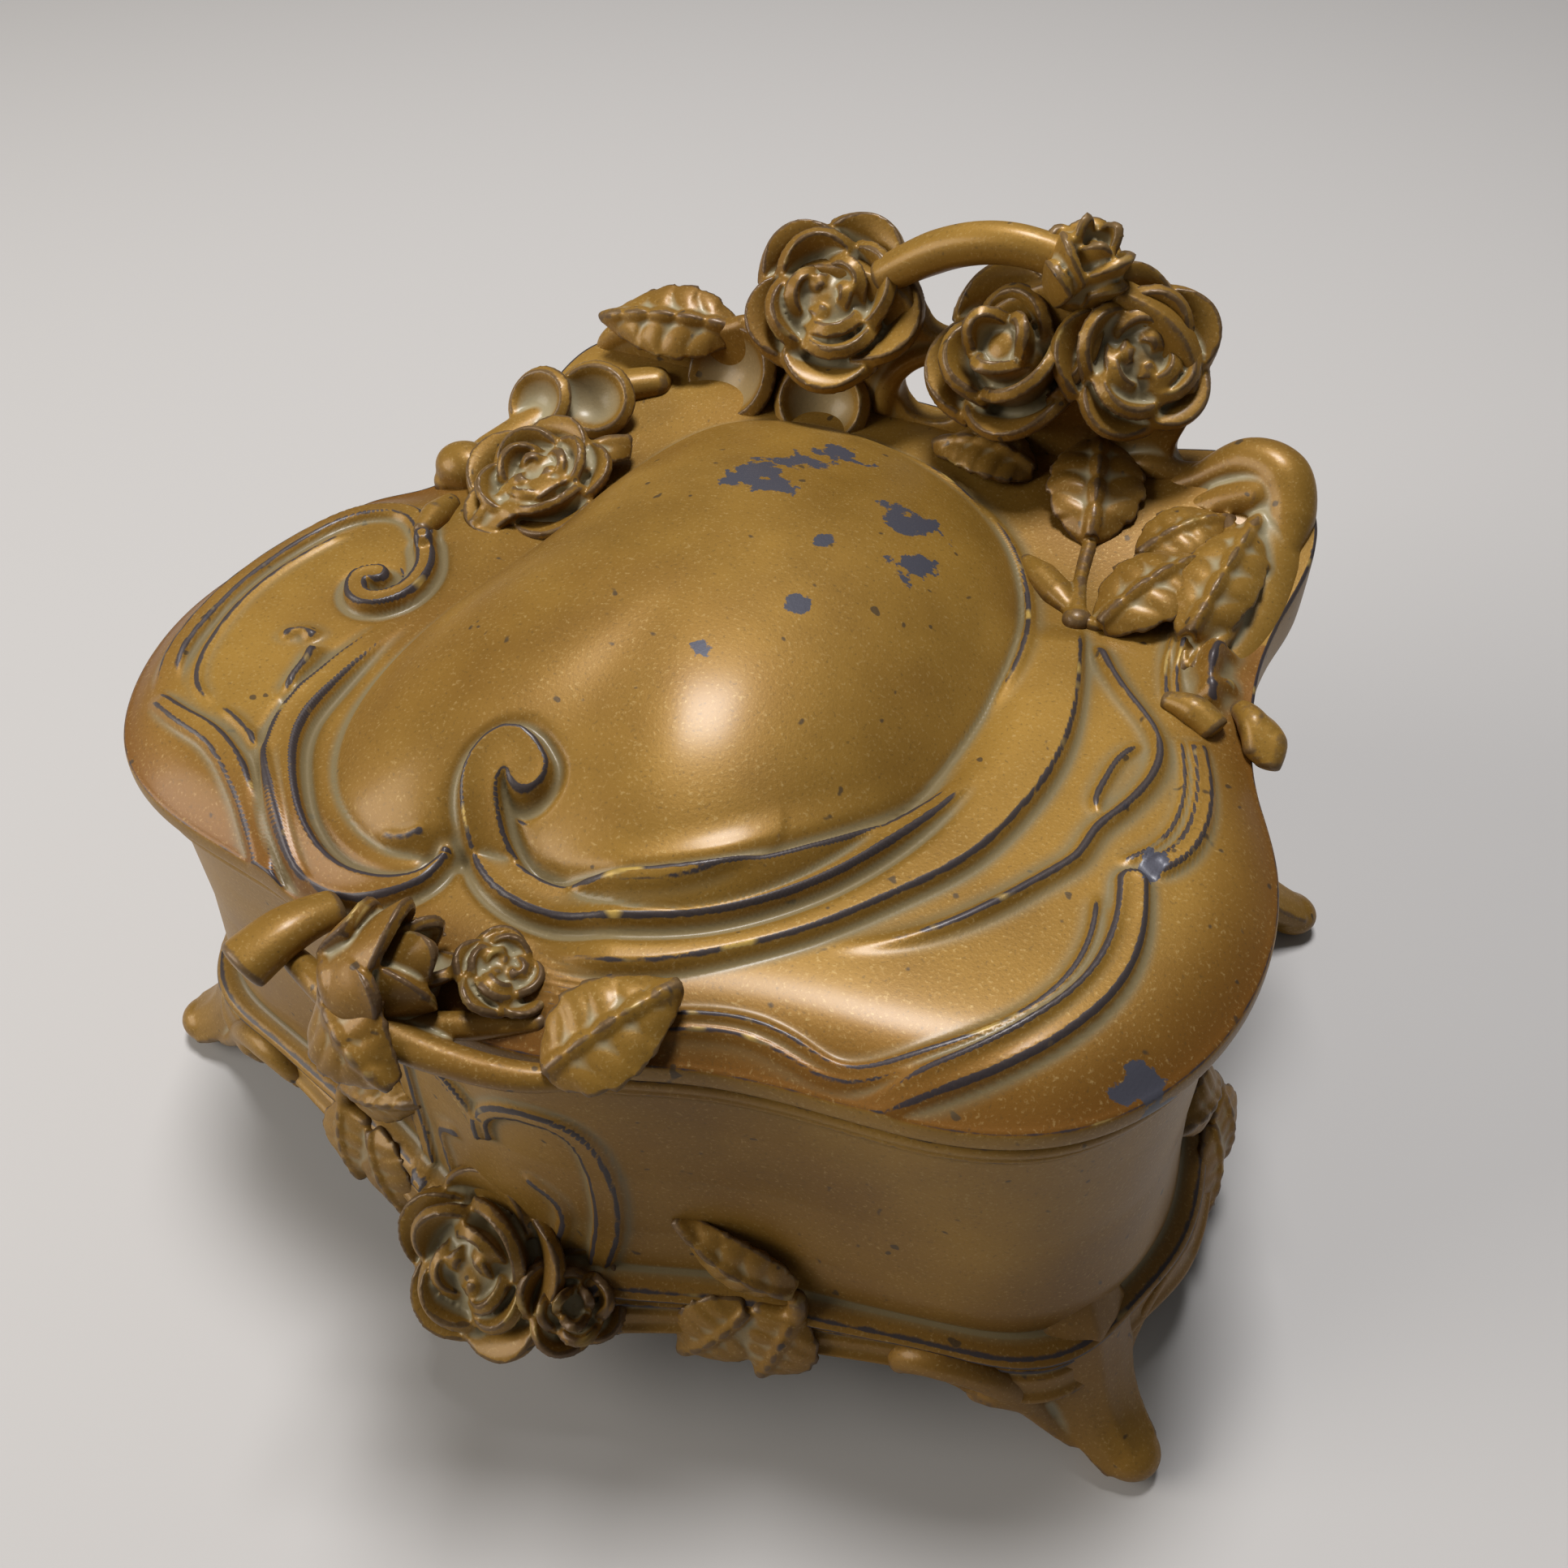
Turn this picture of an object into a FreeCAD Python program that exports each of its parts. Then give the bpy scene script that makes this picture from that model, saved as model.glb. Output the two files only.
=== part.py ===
import FreeCAD, Part
import math
import os
from FreeCAD import Vector

os.makedirs("parts", exist_ok=True)

# Lid plan, in millimetres
LID_HALF_WIDTH = 64.0
LID_FRONT_DEPTH = 58.0
LID_BACK_DEPTH = 45.5
PLAN_SETBACK = 7.7

# Heights
RIM_HEIGHT = 62.0
LIP_HEIGHT = 2.6
FIELD_RISE = 3.4
COVE_RISE = 4.0
COVE_START = 16.0
WING_RISE = 4.0
WING_SPREAD = 11.0
ROLL_WIDTH = 9.0
DOME_RISE = 13.0
LID_WALL = 2.2
SEAT_GAP = 0.2
SEAT_CLEARANCE = 0.08

# Box casting
APRON_HEIGHT = 13.0
WAIST_INSET = 2.6
CORNER_FLARE = 3.5
FLARE_SPREAD = 13.0
BOX_WALL = 2.4
BEAD_RADIUS = 1.3
BEAD_DROP = 2.6
APRON_RIDGE = 1.1
APRON_BAND = 8.0
ARCH_RISE = 2.8

# Feet
FOOT_REACH_X = 67.0
FOOT_REACH_Y = 42.0
LEG_TOP = 24.0
LEG_ROOT_RADIUS = 7.6
FRONT_LEG_SPLAY = 11.4
REAR_LEG_SPLAY = 16.5
LEG_SETBACK = 6.8

# Bottom plate and lining
PLATE_HEIGHT = 16.5
PLATE_THICK = 1.4
PLATE_CLEARANCE = 0.15
LINING_THICK = 1.6
LINING_TOP_GAP = 1.5
LINING_CLEARANCE = 0.1
FLOOR_PAD_THICK = 4.0
LID_PAD_THICK = 3.4
PAD_DRAW_IN = 2.5

# Hinge
HINGE_OFFSET = 2.7
BARREL_RADIUS = 2.2
PIN_RADIUS = 1.0
PIN_CLEARANCE = 0.05
KNUCKLE_LENGTH = 10.0
KNUCKLE_GAP = 0.4
LEAF_REACH = 6.5
LEAF_THICK = 1.1
LEAF_CLEARANCE = 0.5
RIVET_RADIUS = 1.3
RIVET_HEIGHT = 0.7
RIVET_SPACING = 20.0

# Crest
CREST_HALF_LENGTH = 50.0
CREST_HEIGHT = 32.0
CREST_THICK = 3.6
CREST_INSET = 5.0
CREST_HOLE_RADIUS = 3.6
STEM_RADIUS = 1.7
ROSE_RADIUS = 9.0
MIDDLE_ROSE_RADIUS = 8.0
BUD_RADIUS = 5.0
LOBE_RADIUS = 6.5
PETAL_THICK = 1.1
LEAF_SHEET = 1.3
LEAF_BEND_SHARE = 1.2

# Small ornament
DOME_ROSE_RADIUS = 8.5
KNOB_RADIUS = 2.6
THUMB_BUD_RADIUS = 5.0
THUMB_STEM_RADIUS = 1.4
TAB_RADIUS = 2.2
SCROLL_RADIUS = 1.5
LINE_RADIUS = 0.9
APRON_ROSE_RADIUS = 9.0
CREST_LEAF_LENGTH = 15.0
CREST_LEAF_WIDTH = 10.0
THUMB_LEAF_LENGTH = 13.0
THUMB_LEAF_WIDTH = 9.0
SPRAY_LEAF_LENGTH = 13.0
SPRAY_LEAF_WIDTH = 9.0

# Half plan, as shares of half width and of front or back depth: front, plain back, back with the lid's ear
FRONT_SHARES = (
    (0.0, -1.0), (0.17, -0.97), (0.33, -0.905), (0.50, -0.865), (0.67, -0.835),
    (0.83, -0.755), (0.945, -0.595), (1.0, -0.365), (0.97, -0.12), (0.89, 0.10),
)
BACK_SHARES = (
    (0.785, 0.20), (0.727, 0.36), (0.715, 0.56), (0.72, 0.76), (0.69, 0.92), (0.42, 0.99), (0.0, 1.0),
)
EAR_SHARES = (
    (0.853, 0.30), (0.855, 0.56), (0.86, 0.80), (0.775, 0.95), (0.45, 0.99), (0.0, 1.0),
)

# Wall of the box: share of wall height, share of waist inset, share of corner flare
WALL_SHARES = (
    (0.0, -0.35, 1.0), (0.12, 0.25, 1.0), (0.30, 0.75, 0.95), (0.52, 1.0, 0.62),
    (0.75, 0.95, 0.3), (0.92, 0.8, 0.06), (1.0, 0.7, 0.0),
)

# Egg plan of the dome, as shares of half width and of front depth
DOME_SHARES = (
    (0.46, 0.0), (0.44, 0.22), (0.35, 0.42), (0.17, 0.55), (-0.10, 0.60), (-0.32, 0.53),
    (-0.44, 0.34), (-0.47, 0.07), (-0.50, -0.22), (-0.50, -0.47), (-0.39, -0.69),
    (-0.23, -0.745), (-0.06, -0.715), (0.14, -0.72), (0.32, -0.60), (0.43, -0.33),
)
DOME_LEVEL_SHARES = (
    (1.0, 0.0), (0.975, 0.22), (0.90, 0.44), (0.76, 0.65), (0.56, 0.83), (0.32, 0.947), (0.08, 0.996),
)

# Top edge of the crest: share of its half length, share of its height
CREST_SHARES = (
    (-0.92, 0.0), (-0.91, 0.2), (-0.84, 0.40), (-0.66, 0.46), (-0.48, 0.50), (-0.36, 0.70),
    (-0.20, 0.80), (-0.06, 0.70), (0.06, 0.62), (0.20, 0.66), (0.34, 0.86), (0.58, 0.88),
    (0.72, 0.70), (0.77, 0.38), (0.84, 0.34), (0.94, 0.46), (1.02, 0.36), (1.04, 0.0),
)

# Petal rings of a rose: shares of its radius for start, reach and rise, then count and turn
ROSE_RING_SHARES = ((0.25, 1.0, 0.64, 5, 0.0), (0.22, 0.72, 0.82, 4, 30.0), (0.16, 0.45, 0.84, 3, 10.0))

# Legs: share of the leg's height, share of its reach, share of its root radius
LEG_SHARES = ((1.0, 0.0, 1.0), (0.66, 0.30, 0.92), (0.34, 0.72, 0.70), (0.12, 1.0, 0.60), (0.0, 1.05, 0.46))

# Mouldings on the lid: share of half width, share of front depth
FRAME_RIGHT_SHARES = (
    (-0.13, -0.60), (-0.17, -0.66), (-0.10, -0.745), (0.03, -0.775), (0.22, -0.73),
    (0.38, -0.56), (0.465, -0.30), (0.485, -0.02), (0.44, 0.26), (0.30, 0.48),
)
FRAME_LEFT_SHARES = (
    (-0.17, -0.75), (-0.22, -0.80), (-0.32, -0.82), (-0.46, -0.72),
    (-0.56, -0.52), (-0.58, -0.30), (-0.53, -0.10),
)
LOBE_LEFT_SHARES = (
    (-0.67, -0.20), (-0.63, -0.10), (-0.68, 0.0), (-0.78, 0.04), (-0.90, -0.08), (-0.94, -0.30),
    (-0.89, -0.52), (-0.78, -0.64), (-0.64, -0.72),
)
LINE_RIGHT_SHARES = (
    (0.33, -0.84), (0.50, -0.82), (0.64, -0.75), (0.74, -0.62), (0.79, -0.44), (0.78, -0.32),
)


def plan(share_x, share_y):
    """A plan point from shares of the lid's half width and depths."""
    depth = LID_FRONT_DEPTH if share_y < 0 else LID_BACK_DEPTH
    return Vector(share_x * LID_HALF_WIDTH, PLAN_SETBACK + share_y * depth, 0)


def egg(share_x, share_y):
    """A plan point from shares of the lid's half width and front depth."""
    return Vector(share_x * LID_HALF_WIDTH, PLAN_SETBACK + share_y * LID_FRONT_DEPTH, 0)


def offset_loop(points, inset):
    """The closed loop of points moved inwards along its normals."""
    moved = []
    for i, point in enumerate(points):
        along = points[(i + 1) % len(points)] - points[i - 1]
        along.normalize()
        moved.append(point + Vector(-along.y, along.x, 0) * inset)
    return moved


def outline(inset, flare=0.0, right_back=BACK_SHARES):
    """Plan loop of the lid or box with corners drawn out to the feet by flare."""
    right = [plan(*pair) for pair in FRONT_SHARES + right_back]
    left = [plan(-x, y) for x, y in (FRONT_SHARES + BACK_SHARES)[-2:0:-1]]
    points = []
    for p in right + left:
        pull = Vector(0, 0, 0)
        for side in (-1, 1):
            for end in (-1, 1):
                foot = Vector(side * FOOT_REACH_X, PLAN_SETBACK + end * FOOT_REACH_Y, 0)
                away = (p - foot).Length
                toward = Vector(side, end * 0.3, 0)
                pull = pull + toward * (flare * math.exp(-(away / FLARE_SPREAD) ** 2 / 2))
        points.append(p + pull)
    return offset_loop(points, inset)


def lid_outline(inset):
    """Plan loop of the lid, with an ear at its right back."""
    return outline(inset, 0.0, EAR_SHARES)


def loop_wire(points, height):
    """Closed smooth wire through plan points at one height."""
    curve = Part.BSplineCurve()
    curve.interpolate(Points=[Vector(p.x, p.y, height) for p in points], PeriodicFlag=True)
    return Part.Wire(curve.toShape())


def prism(points, low, high):
    """Straight solid over a plan loop."""
    return Part.Face(loop_wire(points, low)).extrude(Vector(0, 0, high - low))


def wall_values(height):
    """Inset and corner flare of the box wall at one height."""
    share = (height - APRON_HEIGHT) / (RIM_HEIGHT - SEAT_GAP - APRON_HEIGHT)
    for low, high in zip(WALL_SHARES, WALL_SHARES[1:]):
        if share <= high[0]:
            break
    part = (share - low[0]) / (high[0] - low[0])
    waist = low[1] + part * (high[1] - low[1])
    flare = low[2] + part * (high[2] - low[2])
    return waist * WAIST_INSET, flare * CORNER_FLARE


def wall_loop(height, inset):
    """Plan loop of the box wall at one height, moved inwards by inset."""
    waist, flare = wall_values(height)
    return outline(inset + waist, flare)


def wall_layer(low, high, inset, bulge, shares):
    """Solid inside the box wall between two heights, with its side swelled by bulge."""
    wires = []
    for share, swell in shares:
        height = low + share * (high - low)
        wires.append(loop_wire(wall_loop(height, inset - swell * bulge), height))
    return Part.makeLoft(wires, True, False)


LID_CURVE = loop_wire(lid_outline(0), 0)
LID_POINTS = LID_CURVE.discretize(160)


def depth_inside(x, y):
    """Distance from the lid's edge, zero outside it."""
    inside = False
    nearest = None
    last = LID_POINTS[-1]
    for p in LID_POINTS:
        if (p.y > y) != (last.y > y):
            if x < (last.x - p.x) * (y - p.y) / (last.y - p.y) + p.x:
                inside = not inside
        gap = math.hypot(p.x - x, p.y - y)
        nearest = gap if nearest is None else min(nearest, gap)
        last = p
    return nearest if inside else 0.0


def ease(value):
    """Smooth step from 0 to 1."""
    t = min(1.0, max(0.0, value))
    return t * t * (3 - 2 * t)


def lid_top(x, y):
    """Height of the lid's upper face without the dome."""
    back = PLAN_SETBACK + LID_BACK_DEPTH
    start = PLAN_SETBACK + COVE_START
    roll = min(1.0, depth_inside(x, y) / ROLL_WIDTH)
    hold = ease((y - PLAN_SETBACK) / COVE_START)
    roll = 1 - (1 - roll) * (1 - hold)
    wing = math.hypot(x - CREST_HALF_LENGTH, y - back) / WING_SPREAD
    rise = FIELD_RISE * math.sin(math.pi / 2 * roll)
    rise += COVE_RISE * ease((y - start) / (back - start))
    rise += WING_RISE * math.exp(-wing * wing / 2)
    return RIM_HEIGHT + LIP_HEIGHT + rise


def lid_surface(columns=27, rows=23):
    """The lid's upper face, without the dome, a little beyond its edge."""
    reach_x = LID_HALF_WIDTH + ROLL_WIDTH
    front = PLAN_SETBACK - LID_FRONT_DEPTH - ROLL_WIDTH
    back = PLAN_SETBACK + LID_BACK_DEPTH + ROLL_WIDTH
    grid = []
    for i in range(columns):
        x = reach_x * (2 * i / (columns - 1) - 1)
        line = []
        for j in range(rows):
            y = front + (back - front) * j / (rows - 1)
            line.append(Vector(x, y, lid_top(x, y)))
        grid.append(line)
    surface = Part.BSplineSurface()
    surface.interpolate(grid)
    return surface


LID_SURFACE = lid_surface()


def below(surface, shift):
    """Solid below a surface, moved up by shift."""
    face = surface.toShape()
    face.translate(Vector(0, 0, shift))
    return face.extrude(Vector(0, 0, -RIM_HEIGHT))


def lid_patch(box, shift):
    """Solid below the part of the lid's upper face that lies over or under a box."""
    part = LID_SURFACE.copy()
    low = part.parameter(Vector(box.XMin, box.YMin, RIM_HEIGHT + LIP_HEIGHT))
    high = part.parameter(Vector(box.XMax, box.YMax, RIM_HEIGHT + LIP_HEIGHT))
    part.segment(low[0], high[0], low[1], high[1])
    return below(part, shift)


def dome_solid(inset):
    """Egg-shaped dome on the lid, moved inwards by inset."""
    loop = offset_loop([egg(*pair) for pair in DOME_SHARES], inset)
    middle = Vector(0, 0, 0)
    for p in loop:
        middle = middle + p * (1 / len(loop))
    base = RIM_HEIGHT + LIP_HEIGHT + FIELD_RISE / 2 - inset
    rise = DOME_RISE + FIELD_RISE / 2
    wires = []
    for size, height in DOME_LEVEL_SHARES:
        wires.append(loop_wire([middle + (p - middle) * size for p in loop], base + rise * height))
    return Part.makeLoft(wires, True, False)


def tube(points, radius, end_share=1.0):
    """Round bar along a smooth path, with ball ends."""
    curve = Part.BSplineCurve()
    curve.interpolate(points)
    path = Part.Wire(curve.toShape())
    start = curve.value(curve.FirstParameter)
    along = curve.tangent(curve.FirstParameter)[0]
    ring = Part.Wire(Part.makeCircle(radius, start, along))
    bar = path.makePipeShell([ring], True, True)
    ball = Part.makeSphere(radius * end_share, start)
    return bar.fuse([ball, Part.makeSphere(radius, points[-1])])


def moulding(shares, radius):
    """Round moulding half sunk along shares on the lid's upper face."""
    points = []
    for pair in shares:
        p = egg(*pair)
        points.append(Vector(p.x, p.y, lid_top(p.x, p.y)))
    return tube(points, radius, 1.6)


def placed(shape, origin, normal, along):
    """A copy of shape with its z along normal and its x near along."""
    z = Vector(normal)
    z.normalize()
    y = z.cross(along)
    y.normalize()
    x = y.cross(z)
    frame = FreeCAD.Matrix()
    frame.A11, frame.A12, frame.A13, frame.A14 = x.x, y.x, z.x, origin.x
    frame.A21, frame.A22, frame.A23, frame.A24 = x.y, y.y, z.y, origin.y
    frame.A31, frame.A32, frame.A33, frame.A34 = x.z, y.z, z.z, origin.z
    copy = shape.copy()
    copy.Placement = FreeCAD.Placement(frame)
    return copy


def biggest(shape):
    """The largest solid of a shape."""
    return max(shape.Solids, key=lambda s: s.Volume)


def seated(shape, carriers):
    """The shape with its carriers cut away, as one solid."""
    box = shape.BoundBox
    near = [c for c in carriers if c.BoundBox.intersect(box)]
    if near:
        shape = shape.cut(near)
    return biggest(shape)


def petal_ring(radius, start, reach, rise, count, turn):
    """Ring of petals facing z: a thin cup of revolution, notched between its petals."""
    low = Vector(radius * start, 0, 0)
    bend = Vector(radius * (start + 0.74 * (reach - start)), 0, radius * rise * 0.40)
    high = Vector(radius * reach, 0, radius * rise)
    inner_low = low + Vector(0, 0, PETAL_THICK)
    inner_bend = bend + Vector(-PETAL_THICK, 0, PETAL_THICK) * 0.7
    inner_high = high - Vector(PETAL_THICK, 0, 0)
    section = Part.Wire([
        Part.Arc(low, bend, high).toShape(), Part.makeLine(high, inner_high),
        Part.Arc(inner_high, inner_bend, inner_low).toShape(), Part.makeLine(inner_low, low),
    ])
    ring = Part.Face(section).revolve(Vector(0, 0, 0), Vector(0, 0, 1), 360)
    notches = []
    for i in range(count):
        way = math.radians(turn + 360 * (i + 0.5) / count)
        spot = Vector(math.cos(way), math.sin(way), 0) * (radius * reach * 1.04)
        spot = spot + Vector(0, 0, radius * rise * 0.55)
        notches.append(Part.makeCylinder(radius * reach * 0.24, radius, spot))
    return ring.cut(notches)


def rose(radius):
    """Open rose facing z: a calyx, three rings of petals and a heart."""
    calyx = Part.makeCone(radius * 0.30, radius * 0.58, radius * 0.72, Vector(0, 0, -radius * 0.28))
    parts = [Part.makeSphere(radius * 0.22, Vector(0, 0, radius * 0.54))]
    for start, reach, rise, count, turn in ROSE_RING_SHARES:
        parts.append(petal_ring(radius, start, reach, rise, count, turn))
    return biggest(calyx.fuse(parts))


def bud(radius):
    """Closed bud along z with its tail near zero."""
    ball = Part.makeSphere(radius * 0.95, Vector(0, 0, radius))
    tip = Part.makeCone(radius * 0.88, radius * 0.3, radius * 0.95, Vector(0, 0, radius * 1.3))
    return ball.fuse(tip)


def leaf(length, width, teeth=4):
    """Serrated leaf along x, arched along its length, thick below its upper face."""
    edge = []
    for i in range(teeth):
        for step, reach in ((0.45, 1.0), (0.85, 0.80)):
            share = (i + step) / teeth
            half = width / 2 * math.sin(math.pi * share ** 0.8) * reach
            edge.append(Vector(length * share, half, -length))
    far_side = [Vector(p.x, -p.y, p.z) for p in reversed(edge)]
    loop = [Vector(0, 0, -length)] + edge + [Vector(length, 0, -length)] + far_side
    block = Part.Face(Part.makePolygon(loop + [loop[0]])).extrude(Vector(0, 0, length * 2))
    bend = length * LEAF_BEND_SHARE
    thick = LEAF_SHEET * 2
    hub = Vector(length / 2, -length, -bend)
    arch = Part.makeCylinder(bend, length * 2, hub, Vector(0, 1, 0))
    arch = arch.cut(Part.makeCylinder(bend - thick, length * 2, hub, Vector(0, 1, 0)))
    upper = Part.makeBox(length * 2, length * 2, length * 2, Vector(-length / 2, -length, -bend))
    return biggest(block.common(arch).common(upper))


def shrunk(points, amount):
    """A plan loop drawn in toward its middle by about amount at its ends."""
    middle = Vector(0, PLAN_SETBACK, 0)
    share = 1 - amount / LID_HALF_WIDTH
    return [middle + (p - middle) * share for p in points]


def oval_bar(centre, way, half_width, half_height, length):
    """Long bar of oval section through centre, along way."""
    wide = Vector(0, 0, 1).cross(way)
    oval = Part.Ellipse(centre + wide * half_width, centre + Vector(0, 0, half_height), centre)
    if half_height > half_width:
        oval = Part.Ellipse(centre + Vector(0, 0, half_height), centre + wide * half_width, centre)
    return Part.Face(Part.Wire(oval.toShape())).extrude(way * length)


def on_lid(share_x, share_y, lift=0.0):
    """A point on the lid's upper face, raised by lift."""
    p = plan(share_x, share_y)
    return Vector(p.x, p.y, lid_top(p.x, p.y) + lift)


def lid_leaf(base_shares, tip_shares, length, width, lift):
    """Leaf lying on the lid from one plan point toward another."""
    base = on_lid(*base_shares, lift)
    tip = on_lid(*tip_shares, lift)
    along = tip - base
    side = Vector(0, 0, 1).cross(along)
    return placed(leaf(length, width), base, along.cross(side), along)


def spray(origin, normal):
    """Three leaves fused on one wall point, the first pointing up and aside."""
    leaves = []
    up = Vector(0, 0, 1)
    side = up.cross(normal)
    for turn in (150.0, 235.0, 305.0):
        way = side * math.cos(math.radians(turn)) + up * math.sin(math.radians(turn))
        leaves.append(placed(leaf(SPRAY_LEAF_LENGTH, SPRAY_LEAF_WIDTH), origin, normal, way))
    return biggest(leaves[0].fuse(leaves[1:] + [Part.makeSphere(LEAF_SHEET * 2, origin)]))


pieces = {}
rim_top = RIM_HEIGHT - SEAT_GAP
back_edge = PLAN_SETBACK + LID_BACK_DEPTH
far = LID_HALF_WIDTH * 4

# Box casting: apron, ridge, wall, bead and neck in one, with arches between the feet
cavity_shares = tuple((share, 0.0) for share, waist, flare in WALL_SHARES)
plain_shares = ((0.0, 0.0), (0.25, 0.0), (0.5, 0.0), (0.75, 0.0), (1.0, 0.0))
skin_shares = ((0.0, 1.0), (0.3, 1.0), (0.6, 1.0), (1.0, 1.0))
bulge_shares = ((0.0, 0.0), (0.15, 0.72), (0.5, 1.0), (0.85, 0.72), (1.0, 0.0))
band_height = APRON_HEIGHT + APRON_BAND
bead_height = rim_top - BEAD_DROP
box_layers = [
    wall_layer(APRON_HEIGHT, band_height - APRON_RIDGE, 0, 0, plain_shares),
    wall_layer(band_height - APRON_RIDGE, band_height + APRON_RIDGE, 0, APRON_RIDGE, bulge_shares),
    wall_layer(band_height + APRON_RIDGE, bead_height - BEAD_RADIUS, 0, 0, plain_shares),
    wall_layer(bead_height - BEAD_RADIUS, bead_height + BEAD_RADIUS, 0, BEAD_RADIUS, bulge_shares),
    wall_layer(bead_height + BEAD_RADIUS, rim_top, 0, 0, plain_shares),
]
box_outer = box_layers[0].fuse(box_layers[1:])
cavity = wall_layer(APRON_HEIGHT, rim_top, BOX_WALL, 0, cavity_shares)
body_shell = box_outer.cut(cavity)
for side in (-1, 1):
    mid = Vector(side * FOOT_REACH_X * 0.46, -far, APRON_HEIGHT)
    body_shell = body_shell.cut(oval_bar(mid, Vector(0, 1, 0), FOOT_REACH_X * 0.28, ARCH_RISE, far * 2))
    mid = Vector(0, PLAN_SETBACK, APRON_HEIGHT)
    body_shell = body_shell.cut(oval_bar(mid, Vector(side, 0, 0), FOOT_REACH_Y * 0.55, ARCH_RISE, far))
body_shell = biggest(body_shell)
pieces["body_shell"] = body_shell

# Legs splayed to the feet
for side, side_name in ((-1, "left"), (1, "right")):
    for end, end_name, splay in ((-1, "front", FRONT_LEG_SPLAY), (1, "rear", REAR_LEG_SPLAY)):
        foot = Vector(side * FOOT_REACH_X, PLAN_SETBACK + end * FOOT_REACH_Y, 0)
        root = foot - Vector(side * splay, end * LEG_SETBACK, 0)
        rings = []
        for height, out, size in LEG_SHARES:
            centre = root + (foot - root) * out + Vector(0, 0, height * LEG_TOP)
            rings.append(Part.Wire(Part.makeCircle(LEG_ROOT_RADIUS * size, centre)))
        leg = seated(Part.makeLoft(rings, True, False), box_layers[:3])
        pieces["leg_" + end_name + "_" + side_name] = leg

# Bottom plate and lining
plate_top = PLATE_HEIGHT + PLATE_THICK
plate_loop = wall_loop(plate_top, BOX_WALL + PLATE_CLEARANCE)
pieces["bottom_plate"] = prism(plate_loop, PLATE_HEIGHT, plate_top)
lining_low = plate_top
lining_high = rim_top - LINING_TOP_GAP
lining_inset = BOX_WALL + LINING_CLEARANCE
lining = wall_layer(APRON_HEIGHT, rim_top, lining_inset, 0, cavity_shares)
lining = lining.cut(wall_layer(APRON_HEIGHT, rim_top, lining_inset + LINING_THICK, 0, cavity_shares))
slab = Part.makeBox(far * 2, far * 2, lining_high - lining_low, Vector(-far, -far, lining_low))
lining = lining.common(slab)
heart = Vector(0, PLAN_SETBACK, 0)
corner_x = FOOT_REACH_X * 3
corner_y = FOOT_REACH_Y * 3
quarters = ((-1, -1), (1, -1), (1, 1), (-1, 1))
corners = [Vector(corner_x * a, PLAN_SETBACK + corner_y * b, 0) for a, b in quarters]
for i, name in enumerate(("front", "right", "back", "left")):
    wedge = Part.Face(Part.makePolygon([heart, corners[i], corners[(i + 1) % 4], heart]))
    panel = biggest(lining.common(wedge.extrude(Vector(0, 0, RIM_HEIGHT))))
    pieces["lining_" + name] = panel
pad_inset = BOX_WALL + LINING_CLEARANCE * 4 + LINING_THICK
pad_shares = ((0.0, 0.5), (0.35, 0.05), (0.75, 0.8), (1.0, 3.2))
pad_wires = []
for height, draw in pad_shares:
    z = plate_top + FLOOR_PAD_THICK * height
    pad_wires.append(loop_wire(shrunk(wall_loop(z, pad_inset), PAD_DRAW_IN * draw), z))
pieces["lining_floor"] = Part.makeLoft(pad_wires, True, False)

# Lid casting with dome and mouldings
lid_high = RIM_HEIGHT + LIP_HEIGHT + FIELD_RISE + COVE_RISE + WING_RISE + DOME_RISE
lid_block = prism(lid_outline(0), RIM_HEIGHT, lid_high).common(below(LID_SURFACE, 0))
dome = dome_solid(0)
lid_outer = lid_block.fuse(dome)
mouldings = [
    moulding(FRAME_RIGHT_SHARES, SCROLL_RADIUS),
    moulding(FRAME_LEFT_SHARES, SCROLL_RADIUS),
    moulding(LOBE_LEFT_SHARES, SCROLL_RADIUS),
    moulding(LINE_RIGHT_SHARES, LINE_RADIUS),
]
for bar in mouldings:
    lid_outer = lid_outer.fuse(bar)
hollow = prism(lid_outline(LID_WALL), RIM_HEIGHT - LID_WALL, lid_high).common(below(LID_SURFACE, -LID_WALL))
lid_shell = biggest(lid_outer.cut([hollow, dome_solid(LID_WALL)]))
pieces["lid_shell"] = lid_shell

# Lid lining
lid_pad_loop = shrunk(outline(LID_WALL), ROLL_WIDTH)
lid_pad_shares = ((-0.45, 4.0), (-0.25, 1.4), (0.15, 0.05), (1.0, 0.2))
pad_wires = []
for height, draw in lid_pad_shares:
    z = RIM_HEIGHT + LID_PAD_THICK * height
    pad_wires.append(loop_wire(shrunk(lid_pad_loop, PAD_DRAW_IN * draw), z))
pieces["lid_lining"] = Part.makeLoft(pad_wires, True, False)

# Hinge
axis_y = back_edge + HINGE_OFFSET
bore_start = Vector(-far / 2, axis_y, RIM_HEIGHT)
bore = Part.makeCylinder(PIN_RADIUS + PIN_CLEARANCE, far, bore_start, Vector(1, 0, 0))
leaf_half = KNUCKLE_LENGTH * 1.5
leaf_out = back_edge + LEAF_THICK
leaf_in = back_edge - WAIST_INSET * 1.5


def knuckle(low, high):
    """Hinge knuckle between two x places."""
    return Part.makeCylinder(BARREL_RADIUS, high - low, Vector(low, axis_y, RIM_HEIGHT), Vector(1, 0, 0))


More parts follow.
